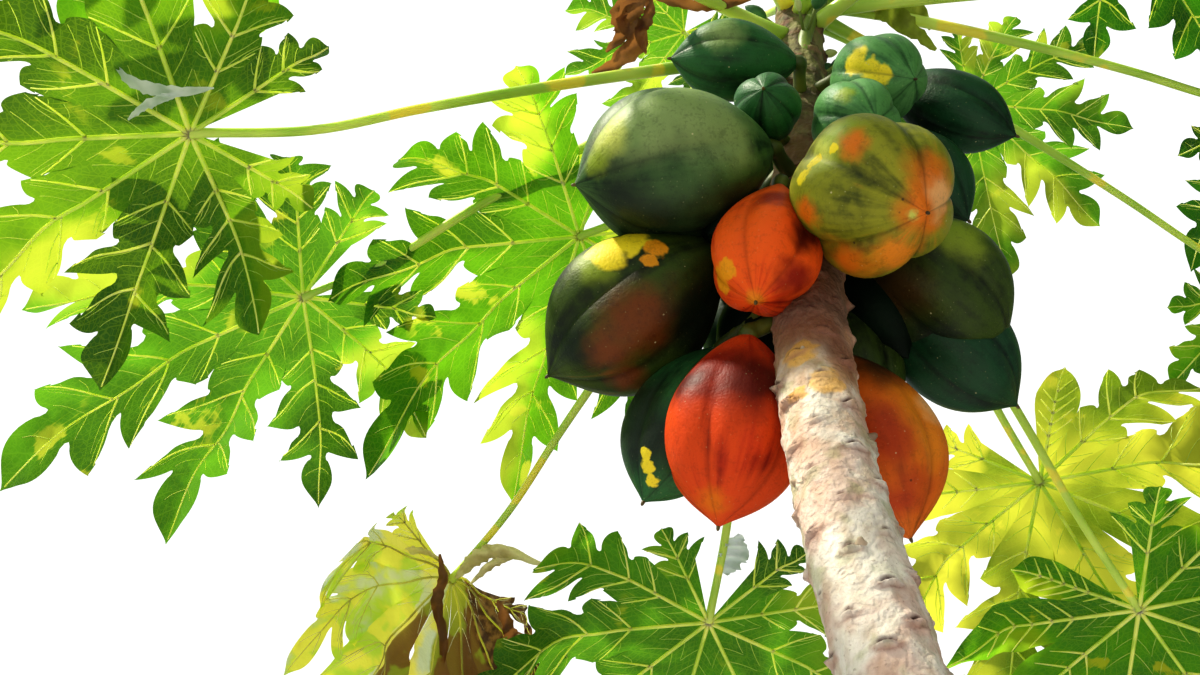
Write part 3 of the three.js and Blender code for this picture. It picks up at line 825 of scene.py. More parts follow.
def withered_finish():
    """A shrivelled blade: brown on some lobes, grey-green or still yellow-green on others, with a faint glow
    of its own colour that is painted light.
    """
    blade = Finish("papaya_blade_withered")
    tone = blade.mark("tone")
    blotch = blade.clouds(0.05, 3)
    crumpled = blade.clouds(0.012, 3)
    lobe = tone + (blotch - 0.5) * 0.3
    brown = blade.blend(crumpled.between(0.4, 0.65), paint("54361c"), paint("9a7238"))
    olive = blade.blend(blotch.between(0.44, 0.52), paint("8c9426"), paint("744a20"))
    grey = blade.blend(blotch.between(0.42, 0.56), paint("d0dcd0"), paint("fff070"))
    yellow = blade.blend(blotch.between(0.44, 0.58), paint("a4dc3c"), paint("fff65a"))
    colour = blade.blend(lobe.between(0.22, 0.3), brown, olive)
    colour = blade.blend(lobe.between(0.48, 0.54), colour, grey)
    colour = blade.blend(lobe.between(0.78, 0.84), colour, yellow)
    # A faint glow of the blade's own colour: painted light, as though lit through from behind.
    shell = blade.surface(colour, 0.6, crumpled, 0.003, Emission_Color=colour, Emission_Strength=0.22)
    return blade.done(blade.mixed(tone.between(0.2, 0.9) * 0.5, shell, blade.through("f0f050")))


def plain_finish(name, code, darker, juicy=0.0, shine=0.5):
    """Two tones of one colour in clouds. A juicy one glows through, to a depth in metres."""
    plain = Finish(name)
    colour = plain.blend(plain.clouds(0.05, 3).between(0.38, 0.62), paint(code), paint(darker))
    height = plain.clouds(0.006, 3)
    glow = juice(1.0, juicy) if juicy else {}
    return plain.done(plain.surface(colour, 0.5, height, 0.0006, Specular_IOR_Level=shine, **glow))


def dead_finish(name, code, darker):
    """Dry leaf in two tones, thin enough to let some light through."""
    dry = Finish(name)
    colour = dry.blend(dry.clouds(0.03, 3).between(0.4, 0.6), paint(code), paint(darker))
    shell = dry.surface(colour, 0.6, dry.clouds(0.008, 3), 0.002)
    return dry.done(dry.mixed(0.45, shell, dry.through(code)))


def stalk_finish():
    """Smooth green stalks with yellow flecks where the sun reaches them."""
    stalk = Finish("leaf_stalk_green")
    green = stalk.blend(stalk.clouds(0.12, 2).between(0.3, 0.7), paint("a0c444"), paint("dce876"))
    sunny = stalk.clouds(0.06, 2).between(0.6, 0.66)
    colour = stalk.layered(green, (sunny * 0.8, "f0dc50"))
    return stalk.done(stalk.surface(colour, 0.35, stalk.clouds(0.008, 2), 0.0003, **juice(0.75, 0.012)))


# Trunk

def bark_levels():
    """The heights of the trunk's rings, closest where the bark is seen best."""
    low, high = FINE_BARK
    coarse = np.arange(0, low, BARK_STEP["coarse"])
    fine = np.arange(low, high, BARK_STEP["fine"])
    upper = np.arange(high, TRUNK["height"], BARK_STEP["coarse"])
    return np.concatenate((coarse, fine, upper, [TRUNK["height"]]))


def scarred(levels, turns):
    """Height of the bark's relief, and where it is pitted or rimmed, over a grid of levels and azimuths."""
    relief = np.zeros((len(levels), len(turns)))
    pitted = np.zeros_like(relief)
    rimmed = np.zeros_like(relief)
    dice = random.Random(SCARS["seed"])
    for i in range(2, int((TRUNK["height"] - 0.1) / SCARS["pitch"])):
        at = SCARS["pitch"] * (i + dice.uniform(-0.3, 0.3))
        azimuth = math.radians(SCARS["turn"] * i + dice.uniform(-9, 9))
        wide = SCARS["half_width"] * dice.uniform(0.8, 1.2)
        tall = SCARS["half_height"] * dice.uniform(0.8, 1.15)
        bold = dice.choice(SCARS["bold"])
        tip = dice.uniform(-0.35, 0.35)
        rows = np.nonzero(abs(levels - at) < 0.045)[0]
        v = (levels[rows] - at)[:, None]
        away = (turns - azimuth + math.pi) % (2 * math.pi) - math.pi
        u = (away * trunk_radius(at))[None, :]
        reach = np.hypot(u / wide, v / tall)
        knob = np.exp(-(u / (wide * 0.8)) ** 2 - ((v - 0.002) / tall) ** 2)
        rim = np.exp(-((reach - 1) / 0.17) ** 2) * ramp(-v, -0.004, 0.004)
        slit = 0.0035 + 0.004 * bold
        pit = np.exp(-(u / slit) ** 2 - ((v - 0.003 + 0.3 * abs(u) + tip * u) / 0.0021) ** 2)
        lip = np.exp(-(u / 0.0095) ** 2 - ((v + 0.0018 + tip * u) / 0.0022) ** 2)
        hollow = np.exp(-(u / 0.011) ** 2 - ((v + 0.0056 + tip * u) / 0.002) ** 2)
        out = SCARS["knob"] * knob + SCARS["rim"] * rim + SCARS["lip"] * lip
        relief[rows] += bold * (out - SCARS["pit"] * pit - SCARS["hollow"] * hollow)
        pitted[rows] = np.maximum(pitted[rows], np.clip((bold + 0.3) * pit * 1.3, 0, 1))
        rimmed[rows] = np.maximum(rimmed[rows], np.clip(bold * (0.8 * rim + 0.9 * hollow), 0, 1))
    return relief, pitted, rimmed


def make_trunk():
    levels = bark_levels()
    turns = ring_turns(TRUNK_SIDES)
    relief, pitted, rimmed = scarred(levels, turns)
    for row, level in enumerate(levels):
        for column, angle in enumerate(turns):
            spot = Vector((math.cos(angle) * 3.2, math.sin(angle) * 3.2, level * 42))
            relief[row, column] += 0.0018 * noise.noise(spot) + 0.0012 * noise.noise(spot * 3.1)
    z, turn = np.meshgrid(levels, turns, indexing="ij")
    relief *= np.clip((TRUNK["height"] - z) / 0.05, 0, 1) * np.clip(z / 0.01, 0, 1)
    out = trunk_radius(z, turn) + relief
    centre = lean_at(z) - lean_at(0)
    bark = np.stack((centre + out * np.cos(turn), out * np.sin(turn), z), axis=-1).reshape(-1, 3)
    tip = trunk_centre(TRUNK["height"]) + UP * TRUNK["bud_radius"] / 2
    points = np.vstack((bark, [trunk_centre(0.0)], [tip]))
    ends = fan_faces(len(levels), TRUNK_SIDES, len(bark), len(bark) + 1)
    marks = {"scar": np.append(pitted.ravel(), (0.0, 0.0)), "rim": np.append(rimmed.ravel(), (0.0, 0.0))}
    heap = Heap()
    heap.add(points, grid_faces(len(levels), TRUNK_SIDES), ends, **marks)
    heap.piece("trunk_bark", bark_finish(placed(BARK_PATCHES, points)), "bark", ["trunk"])


# Fruit

def fruit_radius(share, fruit):
    fullest = FRUIT["steep_fullest"] if fruit["droop"] > FRUIT["steep"] else FRUIT["fullest"]
    swell = math.log(0.5) / math.log(fullest)
    pointed = FRUIT["fullness"] + 0.5 * share ** 8
    return fruit["width"] / 2 * np.maximum(np.sin(math.pi * share ** swell), 0) ** pointed


def fruit_pose(fruit):
    """Where a fruit's stalk starts and ends, and which way the fruit points."""
    azimuth, droop = fruit["azimuth"], fruit["droop"]
    root = on_trunk(fruit["foot"], azimuth, STALK["sunk"])
    start = root + heading(azimuth, -droop / 2) * (fruit["stalk"] + STALK["sunk"])
    return root, start, heading(azimuth + fruit["swing"], -droop)


def ribs(turn, share):
    """How far the skin stands out round a fruit, from 0 down its furrows to 1 on the swell between them."""
    wave = (1 + np.cos(5 * turn)) / 2
    swell = abs(np.cos(2.5 * turn)) ** 0.85
    return wave + (swell - wave) * (0.45 + 0.55 * ramp(share, 0.1, 0.6))


def make_skin(index, fruit, start, axis):
    across = unit(np.cross(axis, UP))
    over = np.cross(across, axis)
    roll = chance(index, 0) * 2 * math.pi
    share = (1 - np.cos(np.linspace(0, math.pi, FRUIT["rings"]))) / 2
    share[0], share[-1] = 0.0004, 0.9996
    s, t = np.meshgrid(share, ring_turns(FRUIT["sides"]), indexing="ij")
    rib = ribs(t, s)
    furrow = FRUIT["lobed_furrow"] if fruit["skin"] == "lobed" else FRUIT["furrow"]
    deep = (FRUIT["ridge"] + furrow) * (0.3 + 0.7 * ramp(s, 0.02, 0.6))
    radius = fruit_radius(s, fruit) * (1 + FRUIT["ridge"] - deep * (1 - rib))
    lumps = np.array([
        noise.noise(Vector((math.cos(b) * 1.4, math.sin(b) * 1.4, a * 3 + index * 7)))
        for a, b in zip(s.ravel(), t.ravel())
    ]).reshape(s.shape)
    radius *= 1 + FRUIT["lumps"] * lumps
    points = (
        start
        + axis * (s * fruit["length"])[..., None]
        + over * (radius * np.cos(t + roll))[..., None]
        + across * (radius * np.sin(t + roll))[..., None]
    ).reshape(-1, 3)
    heap = Heap()
    # Where the finish paints shade down the skin's furrows.
    furrow_shade = (1 - rib) ** 6 * ramp(s, 0.1, 0.9)
    strip = np.stack((np.cos(t), np.sin(t), s), axis=-1).reshape(-1, 3)
    faces = grid_faces(FRUIT["rings"], FRUIT["sides"])[:, ::-1]
    heap.add(points, faces, furrow_shade=furrow_shade.ravel(), swell=rib.ravel(), strip=strip)
    number = index + 1
    finish = skin_finish(number, fruit, placed(PATCHES.get(number, ()), points))
    slot = "fruit_ripe" if fruit["ripe"] > 0.8 else "fruit_turning" if fruit["ripe"] > 0.3 else "fruit_green"
    heap.piece(f"papaya_{number}", finish, slot, [f"fruit_{number}"])


def make_fruit(index, fruit, stalks, husks):
    root, start, axis = fruit_pose(fruit)
    make_skin(index, fruit, start, axis)
    thick = FRUIT["stalk_radius"] * min(1, 0.3 + fruit["width"] / FRUIT["full_width"])
    within = start + axis * FRUIT["stalk_sunk"] * fruit["length"]
    count = FRUIT["stalk_rings"]
    path = smooth_path((root, root + (start - root) * 0.6, start, within), count)
    knuckle = 0.35 * np.exp(-((np.linspace(0, 1, count) - 0.66) / 0.12) ** 2)
    tube(stalks, path, thick * (np.linspace(1.25, 1.0, count) + knuckle), FRUIT["stalk_sides"])
    tip = start + axis * fruit["length"]
    tube(husks, [tip - axis * 0.003, tip + axis * 0.001, tip + axis * 0.0025], [0.0022, 0.0018, 0.001], 6)


# Leaves

def stalk_path(leaf):
    path = [on_trunk(leaf["foot"], leaf["azimuth"], STALK["sunk"])]
    for i in range(STALK["steps"]):
        share = (i + 0.5) / STALK["steps"]
        hook = STALK["hook"] * max(0, (share - STALK["hook_start"]) / (1 - STALK["hook_start"]))
        step = heading(leaf["azimuth"], leaf["rise"] - leaf["sag"] * share + hook)
        path.append(path[-1] + step * leaf["length"] / STALK["steps"])
    return path


def blade_frame(leaf):
    """The ways forward along a blade, to its left and up from it."""
    forward = heading(leaf["azimuth"], leaf["pitch"])
    left = unit(np.cross(UP, forward))
    return forward, left, np.cross(forward, left)


def lobes_of(leaf):
    both = [(-angle, reach) for angle, reach in reversed(LOBES[1:])] + list(LOBES)
    steps = [0] + [after[0] - before[0] for before, after in zip(both, both[1:])] + [0]
    return [
        {
            "angle": angle,
            "reach": reach,
            "gaps": {-1: steps[i], 1: steps[i + 1]},
            "length": leaf["blade"] * reach * (1 + BLADE["jitter"] * (chance(leaf["index"], i) - 0.5)),
            "droop": leaf["droop"] * BLADE["droop"] * (0.6 + 0.8 * chance(leaf["index"], i + 20)),
            "twist": 0.8 * (chance(leaf["index"], i + 40) - 0.5),
            "wave": chance(leaf["index"], i + 60) * 6.28,
            "folded": 0.45 * chance(leaf["index"], i + 80) - 0.12,
            "tone": chance(leaf["index"], i + 100) if leaf["tint"] != "withered" else (i - 1) / 6,
            "uncut": i in leaf.get("uncut", ()),
            "lopsided": 0.35 * (2 * chance(leaf["index"], i + 120) - 1),
        }
        for i, (angle, reach) in enumerate(both)
    ]


def on_blade(leaf, lobe, spots):
    """Places on the drooping, folded blade of spots (along the rib, to its left) of one lobe's plan."""
    spots = np.asarray(spots, float).reshape(-1, 2)
    forward, left, top = leaf["frame"]
    along, beside = spots[:, 0], spots[:, 1]
    away = np.hypot(along, beside)
    bearing = math.radians(lobe["angle"]) + np.arctan2(beside, along)
    length = lobe["length"]
    far = np.maximum(0, away - BLADE["hub"] * leaf["blade"]) / length
    out = abs(beside)
    slant = math.radians(BLADE["slant"])
    vein = (along - out / math.tan(slant)) / length
    phase = np.interp(vein, VEIN_ROOTS, np.arange(len(VEIN_ROOTS)))
    lift = BLADE["quilt"] * length * abs(np.sin(math.pi * phase)) * ramp(out, 0, 0.06 * length)
    wave = np.sin(along / length * 13 + lobe["wave"]) * np.sin(beside / length * 11 + lobe["wave"] * 2)
    lift = (lift + BLADE["ripple"] * length * wave) * ramp(far, 0, 0.25)
    lift = lift + BLADE["fold"] * out + (lobe["folded"] * out + lobe["twist"] * beside) * ramp(far, 0, 0.5)
    if leaf["tint"] == "withered":
        shut = np.where(bearing > 0, WITHERED["left_shut"], WITHERED["right_shut"])
        bearing = bearing * (1 - shut * ramp(away, 0, 0.3 * length))
        curl = np.sin(along / length * 15 + lobe["wave"] * 3)
        curl = curl + 0.6 * np.sin(beside / length * 24 + along / length * 7)
        lift = lift + (WITHERED["curl"] * length * curl - WITHERED["rolled"] * out) * ramp(far, 0, 0.25)
    shorter = away * (1 - 0.25 * lobe["droop"] * far)
    drop = lobe["droop"] * length * far * far
    return (
        leaf["centre"]
        + np.outer(np.cos(bearing) * shorter, forward)
        + np.outer(np.sin(bearing) * shorter, left)
        + np.outer(lift, top)
        - np.outer(drop, UP)
    )


def widest(bearing):
    """How far out a side vein meets a line at a bearing from the rib, for each metre from hub to its root."""
    return math.sin(math.radians(bearing)) / math.sin(math.radians(BLADE["slant"] - bearing))


def side_parts(leaf, lobe, side):
    """This lobe's own side lobes on one side, as shares of its length: root, tip, slot and depth."""
    if lobe["uncut"]:
        return []
    dice = random.Random(leaf["index"] * 1000 + int(lobe["angle"]) * 3 + side)
    full = lobe["reach"] > BLADE["short_lobe"] and leaf["tint"] != "withered"
    gap = lobe["gaps"][side]
    room = BLADE["overlap"] * widest(gap / 2) if gap else 1
    made = []
    for part in SIDE_LOBES if full else SIDE_LOBES[1:]:
        root = part["root"] + dice.uniform(-0.018, 0.018)
        made.append({
            "root": root,
            "tip": min(part["tip"] * dice.uniform(0.82, 1.2), root * room),
            "slot": part["slot"] + dice.uniform(-0.012, 0.012),
            "depth": part["depth"] * dice.uniform(0.7, 1.25),
            "teeth": dice.uniform(0.006, 0.026),
            "width": SLOT_WIDTH * dice.uniform(0.7, 1.7),
        })
    return made


def lobe_edge(leaf, lobe, side, parting):
    """The lobe's edge on one side from its parting to its tip, as (along, out) by the slant of its veins."""
    length = lobe["length"]
    edge = [parting]
    along, out = parting
    bow = 1.1
    for part in side_parts(leaf, lobe, side):
        sizes = {name: share * length for name, share in part.items()}
        root, tip, slot, depth, width = (sizes[name] for name in ("root", "tip", "slot", "depth", "width"))
        reach = root + BLADE["vein_bow"] * tip
        for t in np.linspace(0.08, 1, 15):
            notch = sizes["teeth"] * (((t - 0.36) / 0.33) % 1) if 0.36 < t < 0.99 else 0
            edge.append((along + (reach - along) * t ** bow + notch, out + (tip - out) * t))
        bow = 1.9
        for t in np.linspace(0.92, 0, 10):
            edge.append((slot - (slot - reach) * t ** 1.6, depth + (tip - depth) * t))
        for turn in np.linspace(0.25, 1, 4) * math.pi:
            edge.append((slot + width * (1 - math.cos(turn)) / 2, depth - width * math.sin(turn) / 2))
        along, out = slot + width, depth
    fuller = LOBE_END if along > length / 2 else UNCUT_FULLNESS
    for t in np.linspace(0.07, 1, 14):
        swell = fuller * length * 4 * t * (1 - t) ** 1.7
        edge.append((along + (length - along) * t, out * (1 - t) + swell))
    return edge


def flat(leaf, points, side):
    """Points (along, out) of the slanted veins on one side as a plan (along the rib, to its left)."""
    slant = math.radians(BLADE["slant"])
    plan = []
    for along, out in points:
        swept = BLADE["sweep"] * max(0, out - BLADE["sweep_from"] * leaf["blade"]) ** 2 / leaf["blade"]
        plan.append((along + out * math.cos(slant) + swept, side * out * math.sin(slant)))
    return plan


def inside(spots, outline):
    """Which spots lie inside a closed outline."""
    x, y = spots[:, 0][:, None], spots[:, 1][:, None]
    a, b = outline, np.roll(outline, -1, axis=0)
    above = (a[:, 1] > y) != (b[:, 1] > y)
    rise = np.where(b[:, 1] == a[:, 1], 1e-12, b[:, 1] - a[:, 1])
    crossing = a[:, 0] + (y - a[:, 1]) * (b[:, 0] - a[:, 0]) / rise
    return (above & (x < crossing)).sum(axis=1) % 2 == 1


def lobe_mesh(leaf, lobe, partings, blades):
    """One lobe of the blade, cut to its outline and creased along its veins."""
    length = lobe["length"]
    right = flat(leaf, lobe_edge(leaf, lobe, -1, partings[0]), -1)
    left = flat(leaf, lobe_edge(leaf, lobe, 1, partings[1]), 1)
    seams = np.linspace(0, 1, 7)[1:-1]
    outline = [(0, 0)] + [tuple(np.array(right[0]) * s) for s in seams] + right
    outline += left[-2::-1] + [tuple(np.array(left[0]) * s) for s in seams[::-1]]
    outline = np.array(outline)
    lobe["outline"] = outline
    points = outline.tolist()
    creases = []
    for line, _ in vein_lines(leaf, lobe):
        first = len(points)
        points += line
        creases += [(first + i, first + i + 1) for i in range(len(line) - 1)]
    step = leaf["blade"] / 24
    across = np.arange(-0.6 * length, 0.6 * length, step)
    down = np.arange(0, length, step)
    fill = np.array([(x + (step / 2 if j % 2 else 0), y) for j, y in enumerate(across) for x in down])
    fill = fill[inside(fill, outline)]
    fixed = np.array(points)
    gaps = np.hypot(fill[:, None, 0] - fixed[:, 0], fill[:, None, 1] - fixed[:, 1]).min(axis=1)
    points += fill[gaps > step * 0.45].tolist()
    rim = list(range(len(outline)))
    spots, _, faces, _, _, _ = delaunay_2d_cdt([Vector(p) for p in points], creases, [rim], 1, 1e-6)
    spots = np.array([tuple(spot) for spot in spots])
    faces = np.array([face for face in faces if len(face) == 3])
    out = abs(spots[:, 1]) / math.sin(math.radians(BLADE["slant"]))
    along = spots[:, 0] - out * math.cos(math.radians(BLADE["slant"]))
    plan = np.stack((along, out, np.zeros(len(spots))), axis=-1)
    halves = lobe["lopsided"] * np.tanh(spots[:, 1] / (0.02 * length))
    shared, apart = (0.02, 0.2) if leaf["tint"] == "withered" else (BLADE["joined"], 0.5)
    own = ramp(np.hypot(spots[:, 0], spots[:, 1]), shared * leaf["blade"], apart * length)
    tone = leaf["tone"] + (lobe["tone"] + halves - leaf["tone"]) * own
    blades.add(on_blade(leaf, lobe, spots), faces, plan=plan, tone=tone)


def vein_lines(leaf, lobe):
    """The lobe's rib, its side veins and their branches, as lines on its plan, each with its kind."""
    length = lobe["length"]
    bow = BLADE["vein_bow"]
    found = [([(s * length, 0) for s in np.linspace(0.0, 0.985, 25)], "rib")]
    for side in (-1, 1):
        parts = side_parts(leaf, lobe, side)
        for part in parts:
            root, tip = part["root"] * length, part["tip"] * length
            line = [(root + bow * tip * s * s, tip * s) for s in np.linspace(0.02, 0.97, 13)]
            found.append((flat(leaf, line, side), "side"))
            for s, way in BRANCHES:
                along, out = root + bow * tip * s * s, tip * s
                reach = 0.085 * length * (1.1 - s)
                branch = [
                    (along + way * reach * (u - 0.4 * u * u), out + reach * u * (0.5 + u))
                    for u in np.linspace(0.05, 1, 5)
                ]
                found.append((flat(leaf, branch, side), "fine"))
        lesser = [*HUB_VEINS, *((part["slot"] - 0.035, part["depth"] * 0.9) for part in parts)]
        for root, reach in [*lesser, *(() if parts else UNCUT_VEINS), TIP_VEIN]:
            line = [
                ((root + 0.25 * reach * s * s) * length, reach * length * s)
                for s in np.linspace(0.02, 1, 6)
            ]
            found.append((flat(leaf, line, side), "side" if (root, reach) in UNCUT_VEINS else "fine"))
    kept = []
    for line, kind in found:
        within = inside(np.array(line), lobe["outline"])
        if kind == "rib" or within.all():
            kept.append((line, kind))
        elif np.argmin(within) > 2:
            kept.append((line[:int(np.argmin(within))], kind))
    return kept


def lobe_veins(leaf, lobe, veins, fine_veins):
    """The lobe's veins as tubes that stand out under the blade."""
    top = leaf["frame"][2]
    size = leaf["blade"] / HABIT["blade"] * (0.7 if leaf["tint"] == "withered" else 1)
    for line, kind in vein_lines(leaf, lobe):
        thick, thin, sides = VEINS[kind]
        radii = np.linspace(thick, thin, len(line)) * size
        path = on_blade(leaf, lobe, line) - np.outer(radii * 0.4, top)
        tube(fine_veins if kind == "fine" else veins, path, radii, sides)


def make_leaf(leaf, blades, veins, fine_veins, stalks):
    path = stalk_path(leaf)
    slimmer = min(1, leaf["blade"] / HABIT["blade"])
    leaf["centre"] = path[-1]
    leaf["frame"] = blade_frame(leaf)
    leaf["tone"] = 0.3 + 0.4 * chance(leaf["index"], 140)
    share = np.linspace(0, 1, STALK["rings"])
    taper = (STALK["foot_radius"] - STALK["tip_radius"]) * (1 - share) ** 1.8
    swollen = 1 + 0.45 * np.exp(-share * leaf["length"] / 0.025) + 0.3 * np.exp(-(1 - share) / 0.012)
    radii = slimmer * (STALK["tip_radius"] + taper) * swollen
    tube(stalks, smooth_path(path, STALK["rings"]), radii, STALK["sides"])
    lobes = lobes_of(leaf)
    shared = BLADE["joined"] * leaf["blade"]
    heel = (shared, shared * BLADE["heel"])
    between = [(shared, shared * widest(lobe["gaps"][1] / 2)) for lobe in lobes[:-1]]
    partings = [heel, *between, heel]
    for i, lobe in enumerate(lobes):
        lobe_mesh(leaf, lobe, partings[i:i + 2], blades)
        lobe_veins(leaf, lobe, veins, fine_veins)


def make_crown():
    green_stalks = Heap()
    blades = {}
    veins = {"green": Heap(), "withered": Heap()}
    fine_veins = {"green": Heap(), "withered": Heap()}
    nodes = {}
    for i, habit in enumerate(LEAVES):
        leaf = {**HABIT, **habit, "index": i}
        tint = leaf["tint"]
        kind = "withered" if tint == "withered" else "green"
        nodes.setdefault(tint, []).append(f"leaf_{i + 1}")
        make_leaf(leaf, blades.setdefault(tint, Heap()), veins[kind], fine_veins[kind], green_stalks)
    for tint, heap in blades.items():
        slot = "leaf_withered" if tint == "withered" else "leaf"
        finish = withered_finish() if tint == "withered" else blade_finish(tint)
        heap.piece(f"blades_{tint}", finish, slot, nodes[tint])
    greens = [node for tint in nodes if tint != "withered" for node in nodes[tint]]
    green = plain_finish("leaf_vein_green", "dce878", "b6d050", 0.010)
    fine = plain_finish("leaf_fine_vein_green", "b2cc58", "8cb43e", 0.004)
    dry = plain_finish("leaf_vein_dry", "c8c060", "9a8c48", 0.01)
    veins["green"].piece("veins_green", green, "leaf", greens)
    fine_veins["green"].piece("fine_veins_green", fine, "leaf", greens)
    veins["withered"].piece("veins_withered", dry, "leaf_withered", nodes["withered"])
    fine_veins["withered"].piece("fine_veins_withered", dry, "leaf_withered", nodes["withered"])
    every = [f"leaf_{i + 1}" for i in range(len(LEAVES))]
    green_stalks.piece("leaf_stalks", stalk_finish(), "leaf", every)


def egg(heap, foot, way, length, width, sides=10):
    """A small pointed egg that stands on its foot."""
    share = np.array((0.0, 0.12, 0.3, 0.5, 0.7, 0.86, 0.96))
    radii = width / 2 * np.array((0.35, 0.72, 0.97, 1.0, 0.78, 0.42, 0.12))
    tube(heap, foot + np.outer(share, way) * length, radii, sides)


def make_buds():
    """Young fruits and flower buds in the leaf axils at the top of the trunk, and a young leaf's stalk."""
    dice = random.Random(BUDS["seed"])
    stems = Heap()
    buds = Heap()
    young = Heap()
    for i in range(BUDS["count"]):
        level = BUDS["lowest"] + BUDS["climb"] * i
        azimuth = BUDS["turn"] * i + dice.uniform(-12, 12)
        foot = on_trunk(level, azimuth, STALK["sunk"])
        share = i / (BUDS["count"] - 1)
        for turn in (-26, 4, 30)[:dice.choice((2, 3))]:
            way = heading(azimuth + turn, dice.uniform(5, 45))
            end = foot + way * dice.uniform(0.022, 0.045)
            tube(stems, smooth_path((foot, (foot + end) / 2 - UP * 0.003, end), 5), 0.0022, 6)
            size = dice.uniform(0.7, 1.1) * (0.034 - 0.016 * share)
            if turn == 4 and share < 0.6:
                egg(young, end, way, size * 1.7, size * 0.95)
            else:
                egg(buds, end, way, size, size * 0.4, 8)
    rising = smooth_path([beyond(spot, depth) for spot, depth in YOUNG_STALK], 16)
    tube(stems, rising, np.linspace(0.011, 0.0065, 16), 12)
    stems.piece("bud_stems", plain_finish("bud_stem_green", "8a9a44", "66782c"), "fruit_green", [])
    buds.piece("flower_buds", plain_finish("flower_bud_cream", "d8dc9a", "aebc66"), "fruit_green", [])
    young.piece("young_fruits", plain_finish("young_fruit_green", "3f7440", "2c5a34"), "fruit_green", [])


def ribbon(heap, route, depth, width):
    """A curled ribbon of dead leaf along places that the picture shows, at one depth from the eye."""
    rows, points = RIBBON["rows"], RIBBON["points"]
    middle = smooth_path([beyond(spot, depth) for spot in route], rows)
    along = np.gradient(middle, axis=0)
    along /= np.linalg.norm(along, axis=1)[:, None]
    toward = sight((PICTURE[0] / 2, PICTURE[1] / 2))
    places = []
    for i, (centre, forward) in enumerate(zip(middle, along)):
        share = i / (rows - 1)
        across = unit(np.cross(forward, toward))
        half = width / 2 * (0.12 + 0.88 * math.sin(math.pi * min(1, share * 0.95 + 0.04)))
        for u in np.linspace(-1, 1, points):
            ragged = 1 + 0.5 * noise.noise(Vector((share * 16, u, width * 90)))
            curl = 0.6 * half * (u * u + 0.6 * math.sin(share * 23 + u * 2 + width * 300))
            places.append(centre + across * half * u * ragged - toward * curl)
    corners = [row * points + point for row in range(rows - 1) for point in range(points - 1)]
    heap.add(places, [(a, a + 1, a + points + 1, a + points) for a in corners])


def make_scraps():
    """Dead leaf caught among the stalks and fruit and on other leaves."""
    for name, tones, routes in SCRAPS:
        heap = Heap()
        for route, depth, width in routes:
            ribbon(heap, route, depth, width)
        heap.piece(name, dead_finish(f"{name}_skin", *tones), "leaf_withered", [])


def make_stubs():
    """Ends of old leaf and fruit stalks that still stand out of the bark."""
    dice = random.Random(STUBS["seed"])
    stubs = Heap()
    for i in range(STUBS["count"]):
        azimuth = SCARS["turn"] * i + dice.uniform(-20, 20)
        foot = on_trunk(STUBS["lowest"] + STUBS["climb"] * i, azimuth, STUBS["sunk"])
        way = heading(azimuth + dice.uniform(-30, 30), dice.uniform(-10, 35))
        size = dice.uniform(0.6, 1.2)
        ends = [foot, foot + way * 0.006 * size, foot + way * 0.011 * size + UP * 0.001]
        tube(stubs, ends, np.array((0.0088, 0.0048, 0.0026)) * size, 9)
    stubs.piece("old_stalk_stubs", plain_finish("old_stalk_bark", "c9b49a", "8a6a52"), "bark", ["trunk"])


def make_inner_fruit():
    """Small near-black fruits close to the trunk, behind the large ones, that partly stand for the deep shade
    in the gaps between them.
    """
    inner = Heap()
    share = (1 - np.cos(np.linspace(0.02, math.pi - 0.02, 22))) / 2
    for level, azimuth, droop, length, width in INNER_FRUIT:
        foot = on_trunk(level, azimuth, -INNER_GAP)
        radii = fruit_radius(share, {"width": width, "droop": droop})
        tube(inner, foot + np.outer(share, heading(azimuth, -droop)) * length, radii, 24)
    # Near-black, as painted shade between the fruit.
    finish = plain_finish("inner_fruit_shade_dark", "0a1e10", "06140a", shine=0.1)
    inner.piece("inner_fruits", finish, "fruit_green", [])


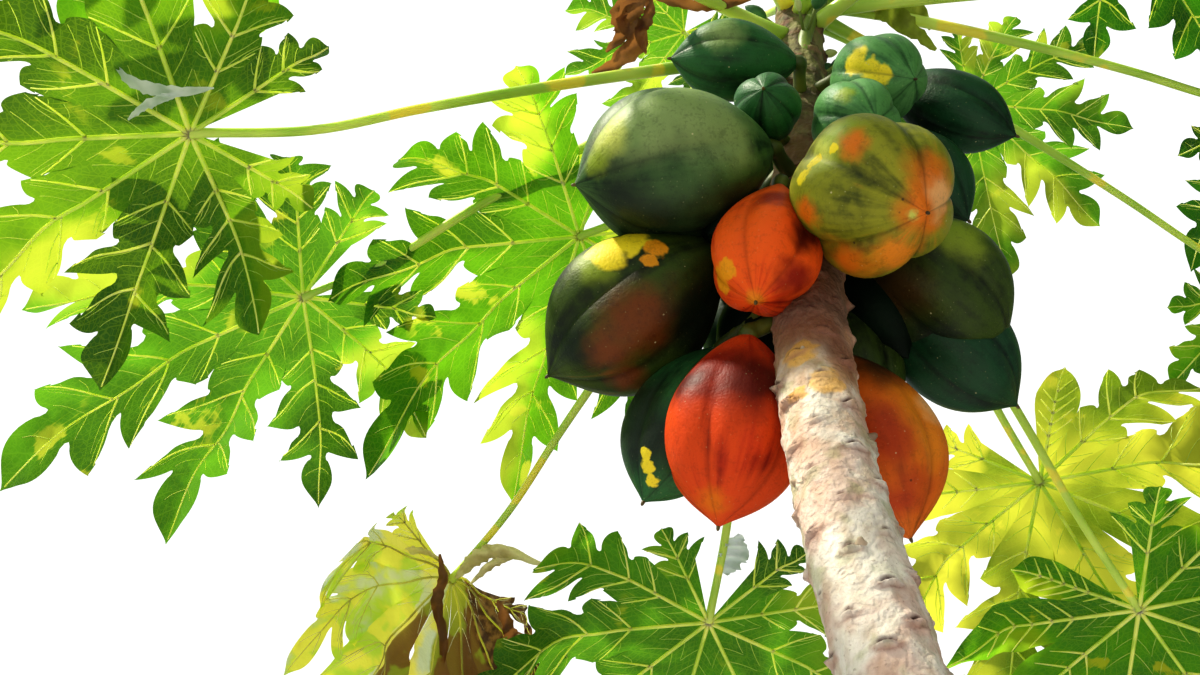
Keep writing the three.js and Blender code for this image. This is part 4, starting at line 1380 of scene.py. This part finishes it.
def make_fruiting():
    stalks = Heap()
    husks = Heap()
    for i, fruit in enumerate(FRUITS):
        make_fruit(i, fruit, stalks, husks)
    every = [f"fruit_{i + 1}" for i in range(len(FRUITS))]
    stalks.piece("fruit_stalks", plain_finish("fruit_stalk_green", "7d8430", "46541e"), "fruit_green", every)
    husks.piece("fruit_tips", plain_finish("dried_style", "6a5a2c", "3a2c16"), "fruit_green", every)


# Studio

def pale_room():
    """A white backdrop whose soft light is fullest from above and to the left, and faint from below."""
    room = Finish("pale_room", room=True)
    ways = {0: room.add("ShaderNodeTexCoord", output="Generated"), 1: unit(np.array(SKY["toward"]))}
    facing = room.add("ShaderNodeVectorMath", {"operation": "DOT_PRODUCT"}, ways, "Value")
    sockets = dict(zip(("From Min", "From Max", "To Min", "To Max"), SKY["facing"] + SKY["strength"]))
    strength = room.add("ShaderNodeMapRange", None, {"Value": facing, **sockets})
    soft = room.add("ShaderNodeBackground", None, {"Color": SKY["tint"], "Strength": strength})
    white = room.add("ShaderNodeBackground", None, {"Color": SKY["backdrop"]})
    straight = room.add("ShaderNodeLightPath", output="Is Camera Ray")
    return room.done(room.mixed(straight, soft, white))


def make_studio():
    lens = bpy.data.cameras.new("eye")
    lens.lens = LENS
    lens.sensor_width = FILM
    camera = bpy.data.objects.new("eye", lens)
    camera.location = EYE
    camera.rotation_euler = (math.radians(TILT), 0, 0)
    bpy.context.collection.objects.link(camera)
    bpy.context.scene.camera = camera

    bpy.ops.mesh.primitive_plane_add(size=FLOOR["size"], location=(0, 0, -0.001))
    floor = bpy.context.object
    floor.name = "studio_floor"
    ground = Finish("studio_floor_pale")
    floor.data.materials.append(ground.done(ground.surface(paint(FLOOR["tone"]), 0.9)))

    sun = bpy.data.lights.new("warm_key", "SUN")
    sun.energy = SUN["strength"]
    sun.angle = math.radians(SUN["width"])
    sun.color = SUN["tint"]
    key = bpy.data.objects.new("warm_key", sun)
    key.rotation_euler = Vector(SUN["toward"]).to_track_quat("Z", "Y").to_euler()
    bpy.context.collection.objects.link(key)

    bpy.context.scene.world = pale_room()
    bpy.context.scene.view_settings.view_transform = "Standard"
    bpy.context.scene.view_settings.look = "Medium High Contrast"


make_studio()
make_trunk()
make_stubs()
make_fruiting()
make_inner_fruit()
make_buds()
make_crown()
make_scraps()
